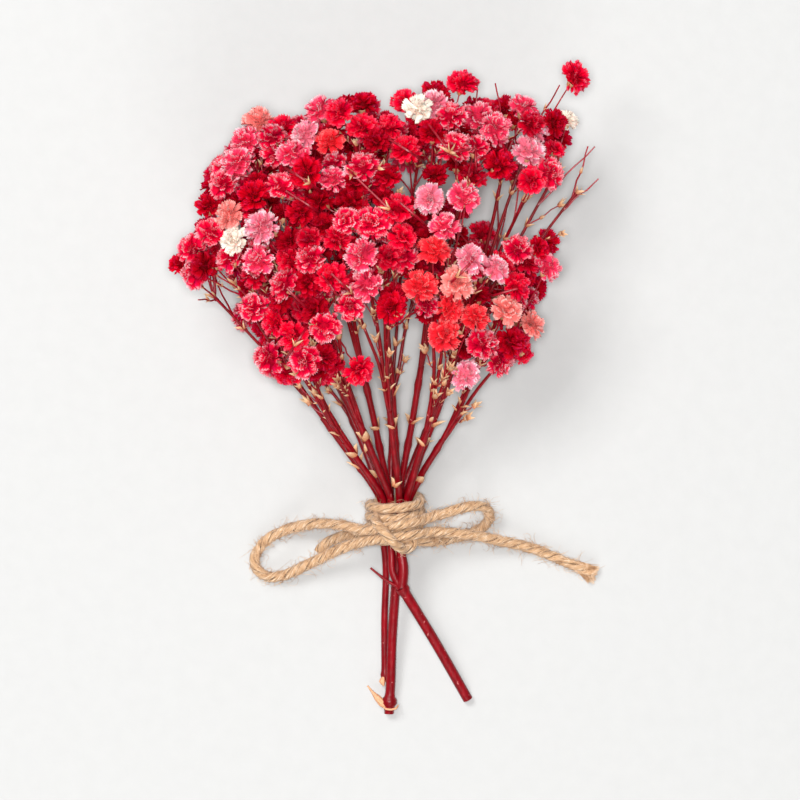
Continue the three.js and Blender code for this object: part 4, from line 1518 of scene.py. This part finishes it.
def dry_bits(spray_name, dye):
    """What is left dry on a cut stem, as tubes."""
    parts = []
    for owner, points, radii in DRY_BITS:
        if owner == spray_name:
            line = smooth_line(points, DRY_STEP)
            shares = np.linspace(0, 1, len(line))
            radii = np.interp(shares, np.linspace(0, 1, len(radii)), radii)
            parts.append(drawn_tubes("dry_bit", [(line, radii)], 1, dye))
    return parts


class OBJECT_OT_bunch_bracts(bpy.types.Operator):
    """Makes the papery bracts at the forks, and the cups under the blooms"""

    bl_idname = "object.bunch_bracts"
    bl_label = "Bracts"

    def execute(self, context):
        settings = context.scene.bunch_stems
        material = bract_material()
        bract, calyx = bract_master(), calyx_master()
        dry_dye = (np.array(settings.bract_base) + np.array(settings.bract_tip)) / 2
        radius, lengths, count, open_by = DRY_BUD
        rng = np.random.default_rng(13)
        for spray in SPRAYS:
            parts = []

            def add(at, along, kind):
                parts.extend(bracts_at(bract, settings, rng, at, along, kind))

            add(*spot_on(spray["rising"], rng.uniform(*STEM_BRACTS_AT)), STEM_BRACTS)
            for branch in spray["branches"]:
                line = branch["line"]
                for k in (int(rng.integers(*FIRST_NODES)), *LAST_NODES):
                    kind = BRANCH_BRACTS if k < LAST_NODES[-1] else BRANCH_END_BRACTS
                    add(line[k], line[k] - line[k - 1], kind)
                for twig in branch["twigs"]:
                    add(twig[2], twig[3] - twig[2], TWIG_BRACTS)
                    bud = (radius, rng.uniform(*lengths), count, open_by)
                    add(twig[-1], twig[-1] - twig[-2], bud)
                for bloom in branch["blooms"]:
                    stalk = bloom["stalk"]
                    if rng.random() < STALK_BRACT_SHARE:
                        add(stalk[3], stalk[4] - stalk[3], STALK_BRACTS)
                    if not bloom["bud"]:
                        facing = bloom["at"] - bloom["from"]
                        base = world(stalk[-1] - unit(facing) * CUP_BELOW)
                        cup = copied(calyx, standing(facing, base, CUP_SIZE * MM))
                        papery(cup, settings, rng.uniform(*CUP_TONE))
                        parts.append(cup)
            for crossing in spray["crossing"]:
                add(crossing["fork"], crossing["middle"] - crossing["fork"], CROSSING_BRACTS)
            parts += dry_bits(spray["name"], dry_dye)
            if spray["name"] == "spray_middle":
                add(*ABOVE_TIE, TIE_BRACTS)
            finished(joined(parts, spray["name"] + "_bracts"), material)
        discard([bract, calyx])
        return {"FINISHED"}


# ---- Blooms ----

# Dye of each tint, and the share of it left at the bloom's heart: painted shade that darkens the middle of
# the bloom.
TINTS = {
    "D": ("crimson", 0.25),
    "R": ("red", 0.25),
    "P": ("rose", 0.35),
    "K": ("pink", 0.5),
    "L": ("pale", 0.6),
    "C": ("coral", 0.45),
    "S": ("salmon", 0.65),
    "W": ("cream", 0.92),
}
# Name, and how far its sides rise, its teeth wave, its edge curls back and its notches are cut.
PETALS = [
    ("open_petal", 0.1, 0.05, 0.08, 0.09),
    ("frilled_petal", 0.02, 0.11, 0.02, 0.12),
    ("folded_petal", 0.3, 0.07, -0.06, 0.1),
]
# Rows of a petal from its base: where each is on the flat grid, where it moves to, and its width there.
PETAL_ROWS = [(0, 0, 0.2), (1 / 3, 0.45, 0.6), (2 / 3, 0.78, 1.0)]
# Which points of the grid are the petal's teeth, its sides, the rows that wave, and its edge.
TEETH = (0, 1 / 3)
CLOSE = 0.05
SIDE_FROM = 0.4
WAVED_FROM = 0.5
EDGE_FROM = 0.9
NOTCHED_EDGE_FROM = 0.81
CORNERS_BACK = 0.07
PETAL_THICKNESS = 0.035
# Angle from the bloom's axis, petals and reach of each whorl.
WHORLS = [
    (118, 8, 0.86), (100, 10, 0.96), (82, 10, 1.0), (64, 10, 1.0), (46, 9, 1.0), (28, 7, 0.98), (10, 5, 0.96),
]
# How the petals of a whorl differ: tilt, place round it, roll and pitch, then length and width.
TILT_STRAY = 0.15
TURN_STRAY = 0.16
ROLL_STRAY = 0.7
PITCH_STRAY = 0.24
PETAL_LENGTH = (0.86, 1.06)
PETAL_WIDTH = (0.8, 1.2)
PETAL_DEPTH = 0.7
HEART_RADIUS = 0.42
BLOOM_SHAPES = 6
BODY_TONE = (0.88, 1.1)
EDGE_TONE = (0.94, 1.04)
# Painted shade at the bloom's heart: where it ends, and over how far it fades into the dye.
SHADED_HEART_END = 0.25  # as a share of the bloom's radius
HEART_SHADE_FADE = 0.4
DARKEST_PETAL = 0.96
PETAL_TONES = 0.14
LEAST_EDGE = 0.15
BUNCH_MIDDLE = np.array([-5, 62, 22])
FACING_OUT = 0.7
FACING_STRAY = 0.4
BLOOM_FLATNESS = (0.82, 1.0)
# Filling blooms: tries for each, how far from a bloom that shows, their radius, and how close they may be to
# the floor, to the tie and to each other.
FILLING_TRIES = 12
FILLING_STRAY = 4.5
FILLING_DEPTH = (1, 13)
FILLING_RADIUS = (0.8, 0.98)
FILLING_OVER_FLOOR = 1.2
FILLING_LOWEST = 42
FILLING_APART = 1.3
FILLING_TINTS = "DRDPDDRPDD"
# How much darker the filling blooms are dyed: painted shade for the depth of the bunch.
FILLING_PAINTED_SHADE = 0.75
FILLING_STALK = 0.8
# A bloom fills a place that enough front blooms within this reach stand round, to within the shift.
AROUND_REACH = 11
AROUND_SHIFT = 4
AROUND_LEAST = 4
BRANCH_SPOTS = np.linspace(0.3, 1, 8)


def petal_master(name, cup, frill, curl, notch):
    """A petal along +Y, one long and one wide, with a frilled edge of three teeth."""
    deselect()
    bpy.ops.mesh.primitive_grid_add(x_subdivisions=6, y_subdivisions=3, size=1, location=(0, 0, 0))
    made = bpy.context.object
    made.name = name
    shift(made, everywhere, (0, 0.5, 0))

    def side(p):
        return abs(p.x) > SIDE_FROM

    def tooth(p):
        return any(abs(abs(p.x) - place_across) < CLOSE for place_across in TEETH)

    shift(made, lambda p: side(p) and p.y > CLOSE, (0, 0, cup))
    shift(made, lambda p: tooth(p) and p.y > WAVED_FROM, (0, 0, frill))
    shift(made, lambda p: not tooth(p) and p.y > EDGE_FROM, (0, 0, -frill))
    shift(made, lambda p: p.y > EDGE_FROM, (0, 0, -curl))
    shift(made, lambda p: not tooth(p) and p.y > EDGE_FROM, (0, -notch, 0))
    for row, to, wide in PETAL_ROWS:
        squeeze(made, lambda p: abs(p.y - row) < CLOSE, (wide, 1, 1), (0, row, 0))
        shift(made, lambda p: abs(p.y - row) < CLOSE, (0, to - row, 0))
    shift(made, lambda p: side(p) and p.y > NOTCHED_EDGE_FROM, (0, -CORNERS_BACK, 0))
    set_values(made, "reach", points_of(made)[:, 1])
    thickened(made, PETAL_THICKNESS)
    smoothed(made, 60)
    return made


def bloom_master(number, petals, width, rng):
    """A whole bloom with a radius of one, open towards +Z."""
    parts = []
    for angle, count, reach in WHORLS:
        start = rng.uniform(0, 2 * math.pi)
        for k in range(count):
            tilt = math.radians(angle) + rng.normal(0, TILT_STRAY)
            turn = start + 2 * math.pi * (k + rng.normal(0, TURN_STRAY)) / count
            up, out = math.cos(tilt), math.sin(tilt)
            heading = Vector((out * math.cos(turn), out * math.sin(turn), up))
            inward = Vector((-up * math.cos(turn), -up * math.sin(turn), out))
            across = heading.cross(inward)
            turned = Matrix((across, heading, inward)).transposed().to_4x4()
            roll = Matrix.Rotation(rng.normal(0, ROLL_STRAY), 4, "Y")
            pitch = Matrix.Rotation(rng.normal(0, PITCH_STRAY), 4, "X")
            tall = reach * rng.uniform(*PETAL_LENGTH)
            sized = Matrix.Diagonal((width * rng.uniform(*PETAL_WIDTH), tall, tall * PETAL_DEPTH, 1))
            petal = copied(petals[int(rng.integers(len(petals)))], turned @ roll @ pitch @ sized)
            set_values(petal, "tone", np.full(len(petal.data.vertices), rng.uniform(0, 1)))
            parts.append(petal)
    deselect()
    bpy.ops.mesh.primitive_ico_sphere_add(subdivisions=2, radius=HEART_RADIUS, location=(0, 0, 0))
    shaded_heart = bpy.context.object
    set_values(shaded_heart, "reach", np.zeros(len(shaded_heart.data.vertices)))
    set_values(shaded_heart, "tone", np.full(len(shaded_heart.data.vertices), 0.5))
    return joined([*parts, shaded_heart], f"bloom_{number}")


def dyed(made, settings, tint, rng, shade=1.0):
    """Dyes a bloom from painted shade at its heart to the edges of its petals."""
    name, heart_shade_share = TINTS[tint]
    body = np.array(getattr(settings, name)) * rng.uniform(*BODY_TONE)
    edge = np.array(getattr(settings, name + "_edge")) * rng.uniform(*EDGE_TONE)
    # The heart is dyed darker as painted shade, for the shade deep inside the bloom.
    shaded_heart = body * heart_shade_share
    reach = get_values(made, "reach")
    tone = get_values(made, "tone")
    to_body = np.clip((reach - SHADED_HEART_END) / HEART_SHADE_FADE, 0, 1)[:, None]
    # A shade below one darkens the whole bloom as painted shade, on the filling blooms under the ones that
    # show.
    bright = shade * (DARKEST_PETAL + PETAL_TONES * tone)[:, None]
    set_dye(made, (shaded_heart + (body - shaded_heart) * to_body) * bright)
    to_edge = (LEAST_EDGE + (1 - LEAST_EDGE) * tone)[:, None]
    set_dye(made, (body + (edge - body) * to_edge) * bright, "edge")


def filling_blooms(count, rng):
    """Blooms under the ones that show, on stalks from the nearest branch of the same spray."""
    shown = [bloom for bloom in BLOOMS if not bloom["bud"]]
    taken = [bloom["at"] for bloom in shown]
    made = []
    for _ in range(count * FILLING_TRIES):
        if len(made) == count:
            break
        near = shown[int(rng.integers(len(shown)))]
        side = -1 if near["at"][2] > axis_height(near["at"][1]) else 1
        aside = [rng.normal(0, FILLING_STRAY), rng.normal(0, FILLING_STRAY)]
        at = near["at"] + [*aside, side * rng.uniform(*FILLING_DEPTH)]
        radius = BLOOM_RADIUS * rng.uniform(*FILLING_RADIUS)
        if at[2] < radius * FILLING_OVER_FLOOR or at[1] < FILLING_LOWEST:
            continue
        if np.min(np.linalg.norm(np.array(taken) - at, axis=1)) < FILLING_APART * radius:
            continue
        around = FRONT_PLAN[np.linalg.norm(FRONT_PLAN - at[:2], axis=1) < AROUND_REACH]
        if len(around) < AROUND_LEAST or np.linalg.norm(around.mean(axis=0) - at[:2]) > AROUND_SHIFT:
            continue
        taken.append(at)
        branches = SPRAYS[near["stem"]]["branches"]
        spots = np.array([bezier(branch["curve"], BRANCH_SPOTS) for branch in branches])
        aim = at - unit(at - place(0, 0, 0)) * STALK_LENGTH * FILLING_STALK
        branch, ring = np.unravel_index(np.argmin(np.linalg.norm(spots - aim, axis=2)), spots.shape[:2])
        tint = FILLING_TINTS[len(made) % len(FILLING_TINTS)]
        bloom = {"at": at, "radius": radius, "stem": near["stem"], "bud": False, "tint": tint}
        bloom["from"] = spots[branch, ring]
        # The filling blooms are dyed darker, as painted shade.
        bloom["shade"] = FILLING_PAINTED_SHADE
        branches[branch]["blooms"].append(bloom)
        made.append(bloom)
    return made


class OBJECT_OT_bunch_blooms(bpy.types.Operator):
    """Makes the double blooms of every spray"""

    bl_idname = "object.bunch_blooms"
    bl_label = "Blooms"

    def execute(self, context):
        settings = context.scene.bunch_blooms
        material = petal_material()
        rng = np.random.default_rng(17)
        petals = [petal_master(*shape) for shape in PETALS]
        width = settings.petal_width / (BLOOM_RADIUS * MM)
        shapes = [bloom_master(number, petals, width, rng) for number in range(BLOOM_SHAPES)]
        discard(petals)
        for spray in SPRAYS:
            parts = []
            for bloom in BLOOMS:
                if bloom["stem"] != spray["index"] or bloom["bud"]:
                    continue
                outward = unit(bloom["at"] - BUNCH_MIDDLE)
                along = unit(bloom["at"] - bloom["from"])
                facing = unit(along + FACING_OUT * outward + rng.normal(0, FACING_STRAY, 3))
                spin = rng.uniform(0, 2 * math.pi)
                shape = shapes[int(rng.integers(BLOOM_SHAPES))]
                size = bloom["radius"] * MM * settings.fluff
                flat = np.array([1, 1, rng.uniform(*BLOOM_FLATNESS)])
                made = lifted(copied(shape, standing(facing, world(bloom["at"]), size * flat, spin)))
                dyed(made, settings, bloom["tint"], rng, bloom.get("shade", 1.0))
                parts.append(made)
            made = joined(parts, spray["name"] + "_blooms")
            finished(made, material)
            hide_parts(spray["name"])
        discard(shapes)
        return {"FINISHED"}


# ---- Panel ----

OPERATORS = (
    OBJECT_OT_bunch_stage,
    OBJECT_OT_bunch_bow,
    OBJECT_OT_bunch_tie,
    OBJECT_OT_bunch_stems,
    OBJECT_OT_bunch_bracts,
    OBJECT_OT_bunch_blooms,
)


class VIEW3D_PT_bunch(bpy.types.Panel):
    """Lists the steps that make the bunch"""

    bl_label = "Bunch"
    bl_idname = "VIEW3D_PT_bunch"
    bl_space_type = "VIEW_3D"
    bl_region_type = "UI"
    bl_category = "Bunch"

    def draw(self, context):
        for step in OPERATORS:
            self.layout.operator(step.bl_idname, text=step.bl_label)


SETTINGS = {
    "bunch_blooms": BunchBloomSettings,
    "bunch_stems": BunchStemSettings,
    "bunch_twine": BunchTwineSettings,
    "bunch_stage": BunchStageSettings,
}


def register():
    for made in (*SETTINGS.values(), *OPERATORS, VIEW3D_PT_bunch):
        bpy.utils.register_class(made)
    for name, kind in SETTINGS.items():
        setattr(bpy.types.Scene, name, PointerProperty(type=kind))


def unregister():
    for name in SETTINGS:
        delattr(bpy.types.Scene, name)
    for made in reversed((*SETTINGS.values(), *OPERATORS, VIEW3D_PT_bunch)):
        bpy.utils.unregister_class(made)


def main():
    register()
    BLOOMS.extend(filling_blooms(bpy.context.scene.bunch_blooms.fillers, np.random.default_rng(23)))
    bpy.ops.object.bunch_stage()
    bpy.ops.object.bunch_bow()
    bpy.ops.object.bunch_tie()
    bpy.ops.object.bunch_stems()
    bpy.ops.object.bunch_bracts()
    bpy.ops.object.bunch_blooms()


if __name__ == "__main__":
    main()
